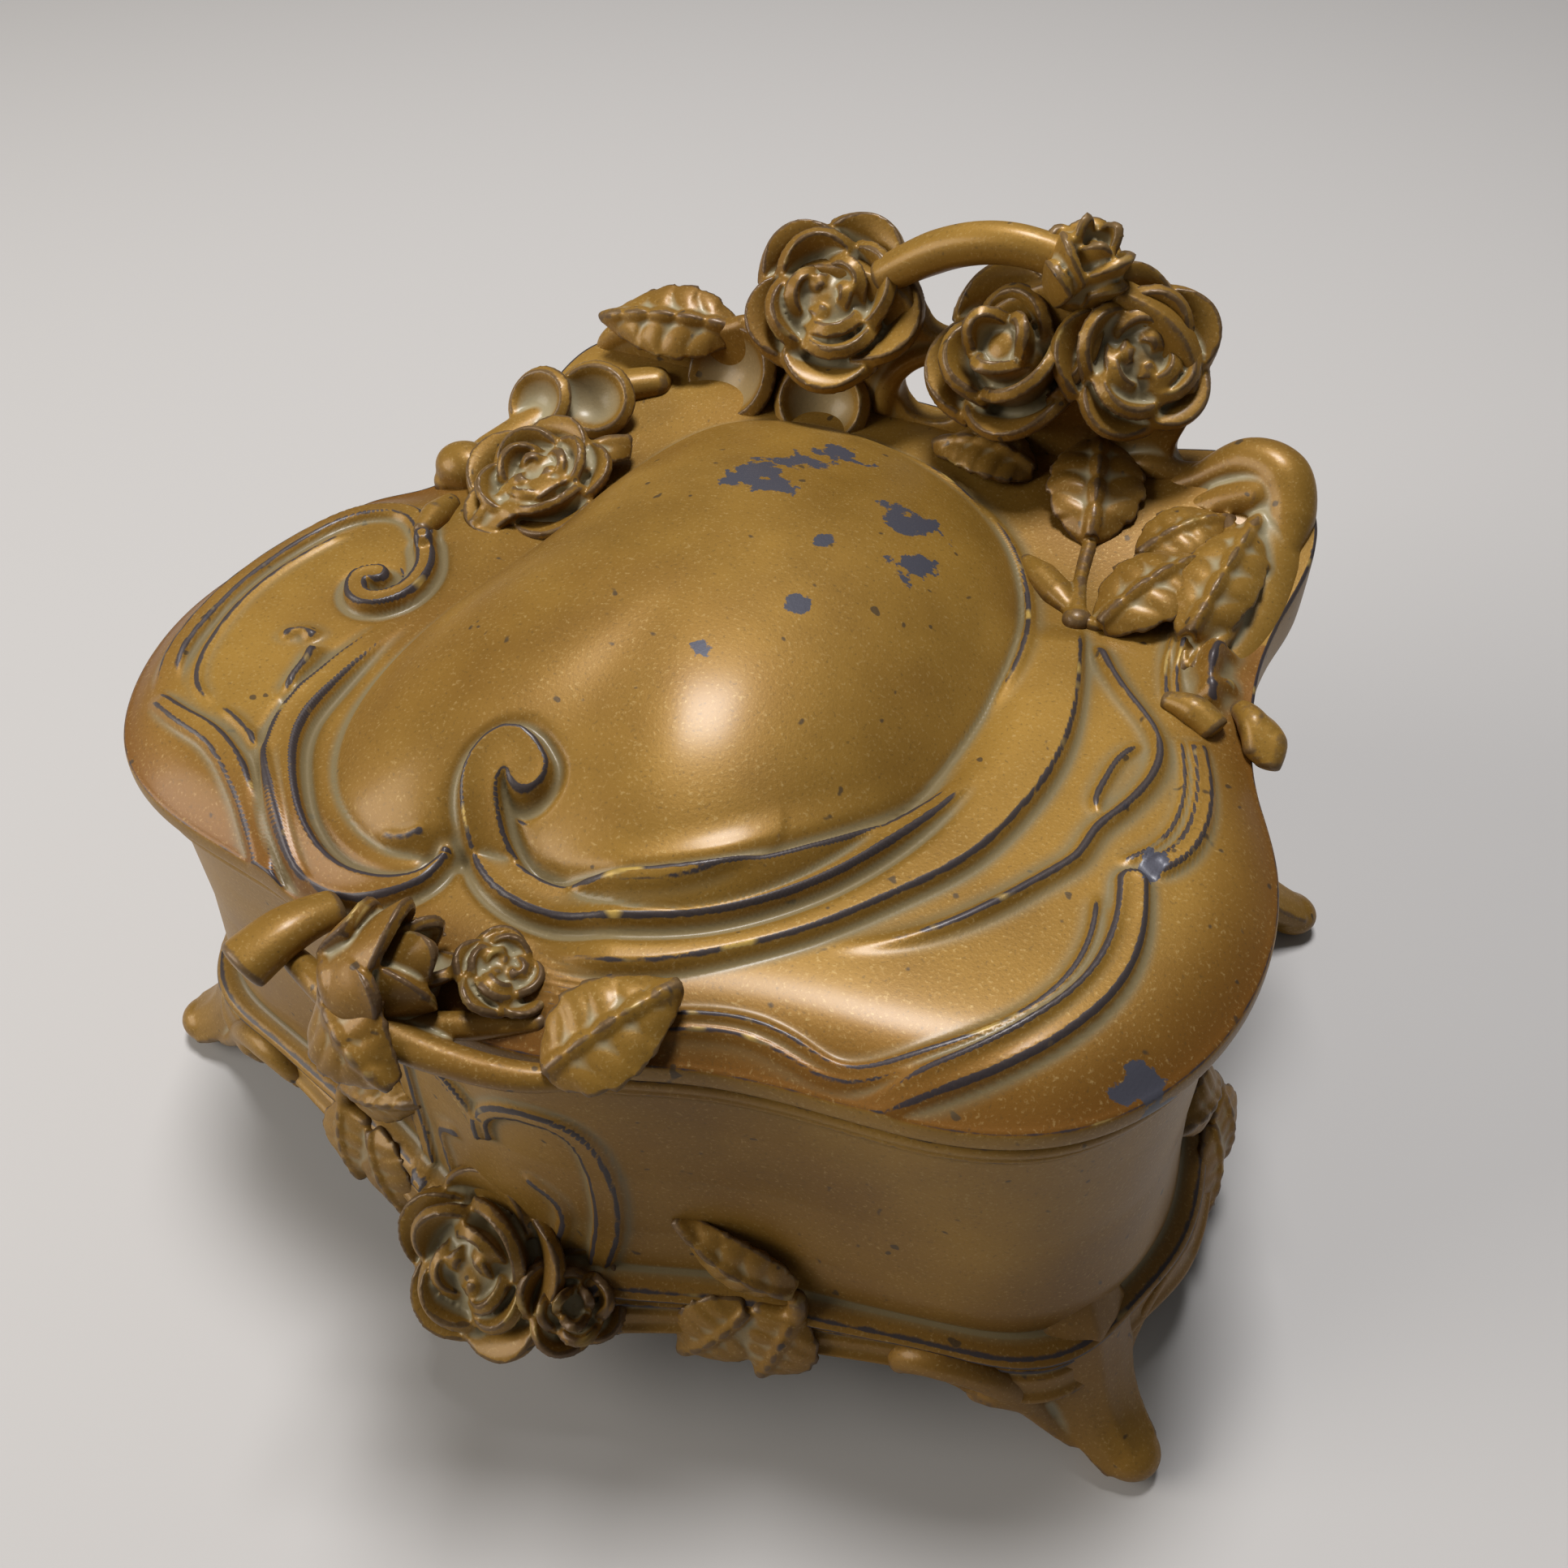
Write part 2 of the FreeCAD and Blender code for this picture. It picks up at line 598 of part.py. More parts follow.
half_knuckle = KNUCKLE_LENGTH / 2
box_leaf_top = rim_top - LEAF_CLEARANCE
box_leaf_low = box_leaf_top - LEAF_REACH
leaf_depth = leaf_out - leaf_in
box_leaf = Part.makeBox(leaf_half * 2, leaf_depth, LEAF_REACH, Vector(-leaf_half, leaf_in, box_leaf_low))
for side in (-1, 1):
    ends = sorted((side * (half_knuckle + KNUCKLE_GAP), side * leaf_half))
    web = Part.makeBox(
        ends[1] - ends[0], axis_y - leaf_in, BARREL_RADIUS - LEAF_CLEARANCE,
        Vector(ends[0], leaf_in, RIM_HEIGHT - BARREL_RADIUS),
    )
    box_leaf = box_leaf.fuse([knuckle(*ends), web])
notch_half = half_knuckle + KNUCKLE_GAP
notch_start = Vector(-notch_half, axis_y, RIM_HEIGHT)
notch = Part.makeCylinder(BARREL_RADIUS + LEAF_CLEARANCE, notch_half * 2, notch_start, Vector(1, 0, 0))
box_leaf = seated(box_leaf.cut([bore, notch]), box_layers[2:])
pieces["hinge_box_leaf"] = box_leaf
lid_leaf_low = RIM_HEIGHT + BARREL_RADIUS + LEAF_CLEARANCE
hinge_leaf = Part.makeBox(leaf_half * 2, leaf_depth, LEAF_REACH, Vector(-leaf_half, leaf_in, lid_leaf_low))
web = Part.makeBox(
    KNUCKLE_LENGTH, axis_y - leaf_in, BARREL_RADIUS + LEAF_CLEARANCE * 2,
    Vector(-half_knuckle, leaf_in, RIM_HEIGHT + LEAF_CLEARANCE),
)
hinge_leaf = hinge_leaf.fuse([knuckle(-half_knuckle, half_knuckle), web]).cut(bore)
hinge_leaf = seated(hinge_leaf, [lid_block])
pieces["hinge_lid_leaf"] = hinge_leaf
pieces["hinge_pin"] = Part.makeCylinder(
    PIN_RADIUS, leaf_half * 2, Vector(-leaf_half, axis_y, RIM_HEIGHT), Vector(1, 0, 0)
)
rivet_heights = (("box", box_leaf_top - LEAF_REACH * 0.6), ("lid", lid_leaf_low + LEAF_REACH * 0.6))
for name, height in rivet_heights:
    heads = []
    for side in (-1, 1):
        spot = Vector(side * RIVET_SPACING / 2, leaf_out, height)
        ball = (RIVET_RADIUS ** 2 + RIVET_HEIGHT ** 2) / (2 * RIVET_HEIGHT)
        head = Part.makeSphere(ball, spot - Vector(0, ball - RIVET_HEIGHT, 0))
        keep = Part.makeCylinder(RIVET_RADIUS * 2, RIVET_HEIGHT * 2, spot, Vector(0, 1, 0))
        heads.append(head.common(keep).Solids[0])
    pieces["hinge_" + name + "_rivets"] = Part.makeCompound(heads)

# Pierced crest along the back of the lid
crest_low = RIM_HEIGHT + LIP_HEIGHT
crest_front = back_edge - CREST_INSET
crest_mid = crest_front + CREST_THICK / 2


def crest_point(share_x, share_z, y=crest_mid):
    """A point of the crest from shares of its half length and height."""
    return Vector(share_x * CREST_HALF_LENGTH, y, crest_low + share_z * CREST_HEIGHT)


edge_points = [crest_point(x, z, crest_front) for x, z in CREST_SHARES]
edge_curve = Part.BSplineCurve()
edge_curve.interpolate(edge_points)
base_line = Part.makeLine(edge_points[-1], edge_points[0])
crest_panel = Part.Face(Part.Wire([edge_curve.toShape(), base_line])).extrude(Vector(0, CREST_THICK, 0))
hole_at = crest_point(0.09, 0.36, crest_front - far)
crest_panel = crest_panel.cut(Part.makeCylinder(CREST_HOLE_RADIUS, far * 2, hole_at, Vector(0, 1, 0)))
crest_panel = seated(crest_panel, [lid_block])
pieces["crest_panel"] = crest_panel
lid_carriers = [dome, crest_panel]


def add_to_lid(name, shape, over_edge=False):
    """Seat an ornament on the lid and on what is already there."""
    box = shape.BoundBox
    box.enlarge(ROLL_WIDTH)
    patch = lid_patch(box, SEAT_CLEARANCE)
    under = [patch]
    if over_edge:
        patch = patch.common(prism(lid_outline(-SEAT_CLEARANCE), RIM_HEIGHT - LIP_HEIGHT, lid_high))
        under = [patch] + mouldings
    piece = seated(shape, under + lid_carriers)
    lid_carriers.append(piece)
    pieces[name] = piece


sunk_y = crest_front + CREST_THICK * 0.4
add_to_lid("crest_rose_left", placed(
    rose(ROSE_RADIUS), crest_point(-0.17, 0.58, sunk_y), Vector(0.12, -0.82, 0.55), Vector(1, 0, 0)))
add_to_lid("crest_rose_right", placed(
    rose(ROSE_RADIUS), crest_point(0.58, 0.63, sunk_y), Vector(0.46, -0.76, 0.46), Vector(1, 0, 0.3)))
middle_at = crest_point(0.38, 0.24, crest_front - CREST_THICK * 0.5)
add_to_lid("crest_rose_middle", placed(
    bud(MIDDLE_ROSE_RADIUS), middle_at, Vector(-0.15, -0.25, 1), Vector(1, 0, 0)))
stem_shares = ((-0.10, 0.78), (0.02, 0.84), (0.16, 0.93), (0.30, 0.98), (0.42, 0.98))
add_to_lid("crest_stem", tube([crest_point(x, z) for x, z in stem_shares], STEM_RADIUS))
add_to_lid("crest_bud", placed(
    bud(BUD_RADIUS), crest_point(0.36, 0.84), Vector(0.5, -0.2, 0.85), Vector(1, 0, 0)))
add_to_lid("crest_petal_left", Part.makeSphere(LOBE_RADIUS, crest_point(-0.44, 0.25, crest_front)))
add_to_lid("crest_petal_right", Part.makeSphere(LOBE_RADIUS * 0.85, crest_point(-0.18, 0.20, crest_front)))
add_to_lid("crest_leaf_top", placed(
    leaf(CREST_LEAF_LENGTH, CREST_LEAF_WIDTH), crest_point(-0.56, 0.42),
    Vector(0, -0.5, 0.85), Vector(-1, -0.1, 0.2)))
scroll_shares = (
    (0.80, 0.20, 0.0), (0.88, 0.36, 0.0), (0.96, 0.45, -0.3), (1.05, 0.34, -1.2), (1.09, 0.14, -2.6),
)
scroll_points = [crest_point(x, z, crest_mid + lean * CREST_THICK) for x, z, lean in scroll_shares]
add_to_lid("crest_scroll", tube(scroll_points, STEM_RADIUS * 1.4), True)
leaf_seat_shares = (
    ("crest_leaf_inner", (0.34, 0.76), (0.12, 0.84)),
    ("crest_leaf_middle", (0.46, 0.52), (0.42, 0.84)),
    ("crest_leaf_outer", (0.57, 0.58), (0.68, 0.80)),
    ("crest_leaf_low", (0.56, 0.32), (0.68, 0.58)),
)
for name, base, tip in leaf_seat_shares:
    add_to_lid(name, lid_leaf(base, tip, CREST_LEAF_LENGTH, CREST_LEAF_WIDTH, LEAF_SHEET))

# Rose, knobbed stem and tab on the lid's sides
dome_rose_at = on_lid(-0.55, 0.28)
add_to_lid("dome_rose", placed(
    rose(DOME_ROSE_RADIUS), dome_rose_at, Vector(-0.06, -0.34, 0.94), Vector(1, 0, 0)))
knob_shares = ((-0.50, 0.80), (-0.60, 0.66), (-0.67, 0.50), (-0.70, 0.34), (-0.73, 0.20))
knob_points = [on_lid(x, y) for x, y in knob_shares]
knobbed = tube(knob_points, STEM_RADIUS)
add_to_lid("dome_stem", knobbed.fuse([Part.makeSphere(KNOB_RADIUS, p) for p in knob_points[1:]]))
tab_shares = ((0.74, 0.14), (0.80, 0.17), (0.86, 0.19))
add_to_lid("waist_tab", tube([on_lid(x, y, TAB_RADIUS / 2) for x, y in tab_shares], TAB_RADIUS), True)

# Thumb piece at the front of the lid
thumb_shares = ((-0.32, -0.97), (-0.18, -1.02), (0.0, -1.04), (0.16, -1.0), (0.27, -0.94))
lip_mid = RIM_HEIGHT + LIP_HEIGHT / 2 + THUMB_STEM_RADIUS / 2
thumb_points = [plan(x, y) + Vector(0, 0, lip_mid) for x, y in thumb_shares]
add_to_lid("thumb_stem", tube(thumb_points, THUMB_STEM_RADIUS), True)
thumb_bud_at = on_lid(-0.18, -0.97, THUMB_STEM_RADIUS)
add_to_lid("thumb_bud", placed(
    bud(THUMB_BUD_RADIUS), thumb_bud_at, Vector(0.85, 0.3, 0.25), Vector(0, 0, 1)), True)
add_to_lid("thumb_leaf_right", lid_leaf(
    (0.10, -0.99), (0.28, -0.82), THUMB_LEAF_LENGTH, THUMB_LEAF_WIDTH, LEAF_SHEET * 2), True)
add_to_lid("thumb_leaf_left", placed(
    leaf(THUMB_LEAF_LENGTH, THUMB_LEAF_WIDTH), plan(-0.22, -1.03) + Vector(0, 0, lip_mid + LEAF_SHEET * 2),
    Vector(0, -0.75, 0.65), Vector(1, -0.15, -0.1)), True)
end_shares = ((-0.27, -0.90), (-0.31, -1.0))
add_to_lid("thumb_end", tube([on_lid(x, y, TAB_RADIUS / 2) for x, y in end_shares], TAB_RADIUS), True)

# Ornament on the box
box_carriers = [wall_layer(APRON_HEIGHT, rim_top, 0, APRON_RIDGE, skin_shares)]


def add_to_box(name, shape):
    """Seat an ornament on the box and on what is already there."""
    piece = seated(shape, box_carriers)
    box_carriers.append(piece)
    pieces[name] = piece


apron_mid = APRON_HEIGHT + APRON_BAND * 0.2
front = plan(-0.06, -1.0) + Vector(0, 0, apron_mid)
add_to_box("apron_rose", placed(rose(APRON_ROSE_RADIUS), front, Vector(-0.05, -0.9, 0.42), Vector(1, 0, 0)))
beside = plan(0.05, -0.98) + Vector(0, 0, apron_mid)
add_to_box("apron_bud", placed(bud(BUD_RADIUS), beside, Vector(0.85, -0.3, 0.4), Vector(0, 0, 1)))
for side, name in ((-1, "left"), (1, "right")):
    spot = plan(side * 0.46, -0.865) + Vector(0, -LEAF_SHEET * 3, band_height)
    add_to_box("apron_spray_front_" + name, spray(spot, Vector(side * 0.15, -1, 0.05)))
    spot = plan(side * 1.0, -0.25) + Vector(side * LEAF_SHEET * 3, 0, band_height)
    add_to_box("apron_spray_side_" + name, spray(spot, Vector(side, 0, 0.05)))

for name, node in pieces.items():
    node.exportStep("parts/" + name + ".step")
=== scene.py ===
import math
import bpy
import numpy as np
from mathutils import Matrix, Vector
from mathutils.geometry import tessellate_polygon


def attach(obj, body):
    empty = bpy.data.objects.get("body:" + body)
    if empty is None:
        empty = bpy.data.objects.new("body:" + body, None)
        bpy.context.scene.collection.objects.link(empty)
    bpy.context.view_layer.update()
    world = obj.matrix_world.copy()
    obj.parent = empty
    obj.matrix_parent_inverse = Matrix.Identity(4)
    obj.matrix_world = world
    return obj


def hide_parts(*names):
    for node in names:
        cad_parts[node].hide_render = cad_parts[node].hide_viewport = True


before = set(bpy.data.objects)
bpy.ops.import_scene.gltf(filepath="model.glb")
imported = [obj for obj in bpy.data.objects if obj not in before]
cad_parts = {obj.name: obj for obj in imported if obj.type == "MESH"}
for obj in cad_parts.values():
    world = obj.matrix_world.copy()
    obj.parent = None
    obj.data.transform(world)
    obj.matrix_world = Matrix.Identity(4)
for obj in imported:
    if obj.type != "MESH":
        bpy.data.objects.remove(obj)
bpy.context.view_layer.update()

# Sizes in millimetres, in the frame of the part
MM = 0.001
SHIFT = 7.7
HALF_WIDTH = 64.0
FRONT_DEPTH = 58.0
BACK_DEPTH = 45.5
RIM = 62.0
WALL_TOP = RIM - 0.2
WALL_FOOT = 13.0
WALL_THICK = 2.4
LINING_TOP = 60.0
LINING_FOOT = 18.2
LINING_INSET = 3.25
FLOOR_HEIGHT = 20.0
FOOT = (67.0, 42.0)
WAIST = 2.6
FLARE = 3.5

# Right half of the plan as shares of half width and depth: front, back of the lid's ear, other backs
FRONT_PLAN = (
    (0.0, -1.0), (0.17, -0.97), (0.33, -0.905), (0.50, -0.865), (0.67, -0.835),
    (0.83, -0.755), (0.945, -0.595), (1.0, -0.365), (0.97, -0.12), (0.89, 0.10),
)
EAR_PLAN = ((0.853, 0.30), (0.855, 0.56), (0.86, 0.80), (0.775, 0.95), (0.45, 0.99), (0.0, 1.0))
BACK_PLAN = (
    (0.785, 0.20), (0.727, 0.36), (0.715, 0.56), (0.72, 0.76), (0.69, 0.92), (0.42, 0.99), (0.0, 1.0),
)
# Wall in rows: share of its height, then shares of the waist and of the corner flare
WALL = np.array([
    (0.0, -0.35, 1.0), (0.12, 0.25, 1.0), (0.30, 0.75, 0.95), (0.52, 1.0, 0.62),
    (0.75, 0.95, 0.3), (0.92, 0.8, 0.06), (1.0, 0.7, 0.0),
])


# Plan curves
def spline(points, count, closed=False):
    """Evenly spaced points on a cubic spline through points."""
    p = np.array(points, float)
    if closed:
        p = np.vstack([p, p[:1]])
    t = np.concatenate([[0], np.cumsum(np.linalg.norm(np.diff(p, axis=0), axis=1))])
    n = len(p)
    h = np.diff(t)
    a = np.zeros((n, n))
    b = np.zeros_like(p)
    for i in range(1, n - 1):
        a[i, i - 1] = h[i - 1]
        a[i, i] = 2 * (h[i - 1] + h[i])
        a[i, i + 1] = h[i]
        b[i] = 6 * ((p[i + 1] - p[i]) / h[i] - (p[i] - p[i - 1]) / h[i - 1])
    if closed:
        a[0, 0] = 2 * (h[0] + h[-1])
        a[0, 1] = h[0]
        a[0, n - 2] = h[-1]
        b[0] = 6 * ((p[1] - p[0]) / h[0] - (p[0] - p[n - 2]) / h[-1])
        a[n - 1, n - 1] = 1
        a[n - 1, 0] = -1
    else:
        a[0, 0] = 1
        a[n - 1, n - 1] = 1
    m = np.linalg.solve(a, b)
    fine = np.linspace(0, t[-1], max(600, count * 4))
    k = np.clip(np.searchsorted(t, fine, side="right") - 1, 0, n - 2)
    u = (fine - t[k])[:, None]
    w = (t[k + 1] - fine)[:, None]
    g = h[k][:, None]
    curve = m[k] * w ** 3 / (6 * g) + m[k + 1] * u ** 3 / (6 * g)
    curve = curve + (p[k] / g - m[k] * g / 6) * w + (p[k + 1] / g - m[k + 1] * g / 6) * u
    arc = np.concatenate([[0], np.cumsum(np.linalg.norm(np.diff(curve, axis=0), axis=1))])
    want = np.linspace(0, arc[-1], count, endpoint=not closed)
    return np.stack([np.interp(want, arc, curve[:, i]) for i in range(p.shape[1])], 1)


def half_plan(back):
    """Right half of a plan loop, from front to back."""
    shares = np.array(FRONT_PLAN + back)
    depth = np.where(shares[:, 1] < 0, FRONT_DEPTH, BACK_DEPTH)
    return np.stack([shares[:, 0] * HALF_WIDTH, shares[:, 1] * depth], 1)


def outline(inset, flare, count, ear=False):
    """Plan loop with corners drawn out to the feet; the lid has an ear at its right back."""
    right = half_plan(EAR_PLAN if ear else BACK_PLAN)
    left = half_plan(BACK_PLAN)[-2:0:-1] * (-1, 1)
    p = np.vstack([right, left])
    pull = np.zeros_like(p)
    for side in (-1, 1):
        for end in (-1, 1):
            away = np.linalg.norm(p - (side * FOOT[0], end * FOOT[1]), axis=1)
            pull += np.array((side, end * 0.3)) * (flare * np.exp(-(away / 13.0) ** 2 / 2))[:, None]
    p = p + pull
    along = np.roll(p, -1, 0) - np.roll(p, 1, 0)
    along /= np.linalg.norm(along, axis=1)[:, None]
    p = p + np.stack([-along[:, 1], along[:, 0]], 1) * inset
    return spline(p, count, True)


def ease(v):
    """Smooth step from 0 to 1."""
    t = np.clip(v, 0, 1)
    return t * t * (3 - 2 * t)


def along_curve(points, q):
    """Distance, signed distance (left positive) and share along a curve for query points."""
    a = points[:-1]
    d = points[1:] - a
    length = np.linalg.norm(d, axis=1)
    start = np.concatenate([[0], np.cumsum(length)])[:-1]
    best = np.full(len(q), 1e9)
    sign = np.ones(len(q))
    share = np.zeros(len(q))
    for i in range(len(a)):
        v = q - a[i]
        t = np.clip(v @ d[i] / (length[i] ** 2), 0, 1)
        gap = v - t[:, None] * d[i]
        dist = np.hypot(gap[:, 0], gap[:, 1])
        near = dist < best
        best[near] = dist[near]
        cross = d[i, 0] * v[:, 1] - d[i, 1] * v[:, 0]
        sign[near] = np.sign(cross[near])
        share[near] = (start[i] + t[near] * length[i]) / length.sum()
    return best, sign, share


def curve_field(q, points, margin, count):
    """Mask of the points near a curve, then their distance, side and share along it."""
    curve = spline(points, count)
    near = ((q >= curve.min(0) - margin) & (q <= curve.max(0) + margin)).all(1)
    dist, sign, share = along_curve(curve, q[near])
    return near, dist, sign, share


def ends(share, fade):
    """Fades a relief in and out at the ends of its curve; zero leaves an end blunt."""
    first = ease(share / fade[0]) if fade[0] else 1.0
    last = ease((1 - share) / fade[1]) if fade[1] else 1.0
    return first * last


def ridge(q, points, height, left, right, fade=(0.1, 0.1), count=60):
    """Raised line along a curve, with its own width on each side."""
    near, dist, sign, share = curve_field(q, points, 4 * max(left, right), count)
    width = np.where(sign > 0, left, right)
    out = np.zeros(len(q))
    out[near] = height * ends(share, fade) * np.exp(-(dist / width) ** 2)
    return out


def band(q, points, height, half, fade=(0.0, 0.1), soft=0.9, groove=0.0, count=90):
    """Flat-topped bar along a curve; half gives its half widths from start to end."""
    near, dist, _, share = curve_field(q, points, 6.0, count)
    width = np.interp(share, np.linspace(0, 1, len(half)), half)
    flat = ease((width - dist) / soft + 0.5)
    hollow = 0.20 * np.clip(1 - (dist / width) ** 2, 0, 1)
    cut = groove * np.exp(-((dist - width - 0.9) / 0.6) ** 2)
    out = np.zeros(len(q))
    out[near] = (height * (flat - hollow) - cut) * ends(share, fade)
    return out


def step(q, points, height, soft, reach, fade, count=90):
    """Raised ground on the left of a curve, dying away at reach."""
    near, dist, sign, share = curve_field(q, points, reach, count)
    side = dist * sign
    out = np.zeros(len(q))
    out[near] = height * ease(side / soft + 0.5) * ease((reach - side) / (0.6 * reach)) * ends(share, fade)
    return out


# Mesh helpers
def build(name, verts, faces):
    """A smooth-shaded object from vertices in millimetres."""
    mesh = bpy.data.meshes.new(name)
    mesh.from_pydata((np.asarray(verts) * MM).tolist(), [], [list(f) for f in faces])
    mesh.update()
    mesh.shade_smooth()
    ob = bpy.data.objects.new(name, mesh)
    bpy.context.scene.collection.objects.link(ob)
    return ob


def ring_faces(rows, cols, closed=True):
    """Quads between rows of a grid of vertices."""
    i, j = np.meshgrid(np.arange(rows - 1), np.arange(cols if closed else cols - 1), indexing="ij")
    k = (j + 1) % cols
    quad = np.stack([i * cols + j, i * cols + k, (i + 1) * cols + k, (i + 1) * cols + j], -1)
    return quad.reshape(-1, 4).tolist()


def capped_faces(rows, cols):
    """Quads of a tube of vertices, with a cap over its first and its last row."""
    last = (rows - 1) * cols
    return ring_faces(rows, cols) + [list(range(cols))[::-1], list(range(last, last + cols))]


def coords(mesh):
    """Vertex places of a mesh as an array in millimetres."""
    co = np.zeros(len(mesh.vertices) * 3, np.float32)
    mesh.vertices.foreach_get("co", co)
    return co.reshape(-1, 3).astype(float) / MM


def edge_pairs(mesh):
    """Vertex pairs of all edges."""
    pairs = np.zeros(len(mesh.edges) * 2, np.int64)
    mesh.edges.foreach_get("vertices", pairs)
    return pairs.reshape(-1, 2)


def averaged(values, pairs, rounds):
    """Values blended with their neighbours along edges."""
    count = len(values)
    degree = np.bincount(pairs.ravel(), minlength=count).astype(float)[:, None]
    for _ in range(rounds):
        total = np.zeros_like(values)
        for c in range(values.shape[1]):
            total[:, c] += np.bincount(pairs[:, 0], values[pairs[:, 1], c], count)
            total[:, c] += np.bincount(pairs[:, 1], values[pairs[:, 0], c], count)
        values = 0.5 * values + 0.5 * total / np.maximum(degree, 1)
    return values


def normals(mesh):
    """Vertex normals as an array."""
    n = np.zeros(len(mesh.vertices) * 3, np.float32)
    mesh.vertex_normals.foreach_get("vector", n)
    return n.reshape(-1, 3).astype(float)


def store(mesh, name, value):
    """Keeps one value for each vertex, for a finish to read."""
    layer = mesh.attributes.new(name, "FLOAT", "POINT")
    layer.data.foreach_set("value", value.astype(np.float32))


def mark_wear(ob, fine=0.55, broad=1.7):
    """Stores how far each vertex stands out of its surroundings, over a fine and a broad reach."""
    mesh = ob.data
    pairs = edge_pairs(mesh)
    co = coords(mesh)
    n = normals(mesh)
    size = np.linalg.norm(co[pairs[:, 0]] - co[pairs[:, 1]], axis=1).mean()
    near = averaged(co, pairs, max(2, round((fine / size) ** 2)))
    far = averaged(near, pairs, max(6, round((broad / size) ** 2)))
    for name, other in (("ridge", near), ("swell", far)):
        store(mesh, name, ((co - other) * n).sum(1))


def fused(name, parts, voxel, smooth):
    """One cast skin from several overlapping closed meshes."""
    verts = []
    faces = []
    for v, f in parts:
        first = sum(len(x) for x in verts)
        verts.append(np.asarray(v, float))
        faces += [[i + first for i in face] for face in f]
    ob = build(name, np.vstack(verts), faces)
    remesh = ob.modifiers.new("skin", "REMESH")
    remesh.mode = "VOXEL"
    remesh.voxel_size = voxel * MM
    skin = bpy.data.meshes.new_from_object(ob.evaluated_get(bpy.context.evaluated_depsgraph_get()))
    ob.modifiers.clear()
    ob.data = skin
    co = averaged(coords(skin), edge_pairs(skin), smooth) * MM
    skin.vertices.foreach_set("co", co.astype(np.float32).ravel())
    skin.update()
    skin.shade_smooth()
    return ob


def placed(parts, origin, normal, along):
    """Parts turned so that their z lies along normal and their x near along."""
    z = np.array(normal, float)
    z /= np.linalg.norm(z)
    y = np.cross(z, along)
    y /= np.linalg.norm(y)
    turn = np.stack([np.cross(y, z), y, z], 1)
    return [(np.asarray(v) @ turn.T + np.array(origin, float), f) for v, f in parts]


# Ornament forms in millimetres, facing z
def sheet(points, thick):
    """Closed sheet of a given thickness on a grid of points."""
    n = np.cross(np.gradient(points, axis=0), np.gradient(points, axis=1))
    n /= np.maximum(np.linalg.norm(n, axis=2, keepdims=True), 1e-9)
    rows, cols = points.shape[:2]
    size = rows * cols
    verts = np.vstack([(points + n * thick / 2).reshape(-1, 3), (points - n * thick / 2).reshape(-1, 3)])
    front = ring_faces(rows, cols, False)
    faces = front + [[i + size for i in reversed(f)] for f in front]
    grid = np.arange(size).reshape(rows, cols)
    rim = list(grid[0]) + list(grid[1:, -1]) + list(grid[-1, -2::-1]) + list(grid[-2:0:-1, 0])
    for a, b in zip(rim, rim[1:] + rim[:1]):
        faces.append([b, a, a + size, b + size])
    return verts, faces


def ball(centre, radius, squash=(1.0, 1.0, 1.0), rows=14, cols=24):
    """Round or oval lump."""
    theta = np.linspace(0.03, math.pi - 0.03, rows)[:, None]
    phi = np.linspace(0, 2 * math.pi, cols, endpoint=False)[None]
    p = np.stack([np.sin(theta) * np.cos(phi), np.sin(theta) * np.sin(phi), np.cos(theta) + 0 * phi], -1)
    verts = p.reshape(-1, 3) * radius * np.array(squash) + np.array(centre, float)
    return verts, [f[::-1] for f in capped_faces(rows, cols)]


def petal(reach, rise, start, span, heading, curl, thick):
    """Cupped petal round the z axis, its rim rolled outward by curl."""
    u = np.linspace(-1, 1, 17)[:, None]
    v = np.linspace(0, 1, 15)[None]
    w = v * (1 - 0.30 * u ** 2)
    angle = heading + span * u * (0.5 + 0.5 * np.sqrt(v))
    lip = np.clip(w - 0.72, 0, None) ** 2 * 12
    r = (start + (reach - start) * w ** 0.6 + curl * lip) * (1 + 0.10 * u)
    z = rise * w ** 1.25 - 0.8 * curl * lip
    return sheet(np.stack([r * np.cos(angle), r * np.sin(angle), z], -1), thick)


# Rings of petals: count, reach, rise, start, span, curl and turn
OPEN_ROSE = (
    (3, 0.22, 0.74, 0.06, 1.25, 0.00, 0.0), (3, 0.44, 0.82, 0.14, 1.10, 0.02, 0.6),
    (4, 0.70, 0.82, 0.22, 0.95, 0.06, 0.1), (5, 0.98, 0.66, 0.25, 0.80, 0.12, 0.7),
)
HALF_ROSE = (
    (3, 0.30, 1.75, 0.15, 1.30, 0.02, 0.3), (4, 0.60, 1.70, 0.30, 1.00, 0.10, 0.0),
    (4, 0.92, 1.40, 0.40, 0.95, 0.16, 0.8),
)
SWEPT_ROSE = (
    (3, 0.34, 1.25, 0.12, 1.30, 0.02, 0.3), (3, 0.66, 1.20, 0.28, 1.15, 0.08, 1.2),
    (4, 1.00, 0.95, 0.40, 0.95, 0.14, 0.1),
)
CLOSED_BUD = (
    (3, 0.45, 1.75, 0.25, 1.30, -0.05, 0.2), (3, 0.78, 1.55, 0.45, 1.15, -0.02, 1.1),
    (4, 0.98, 1.10, 0.50, 0.60, 0.06, 0.4),
)


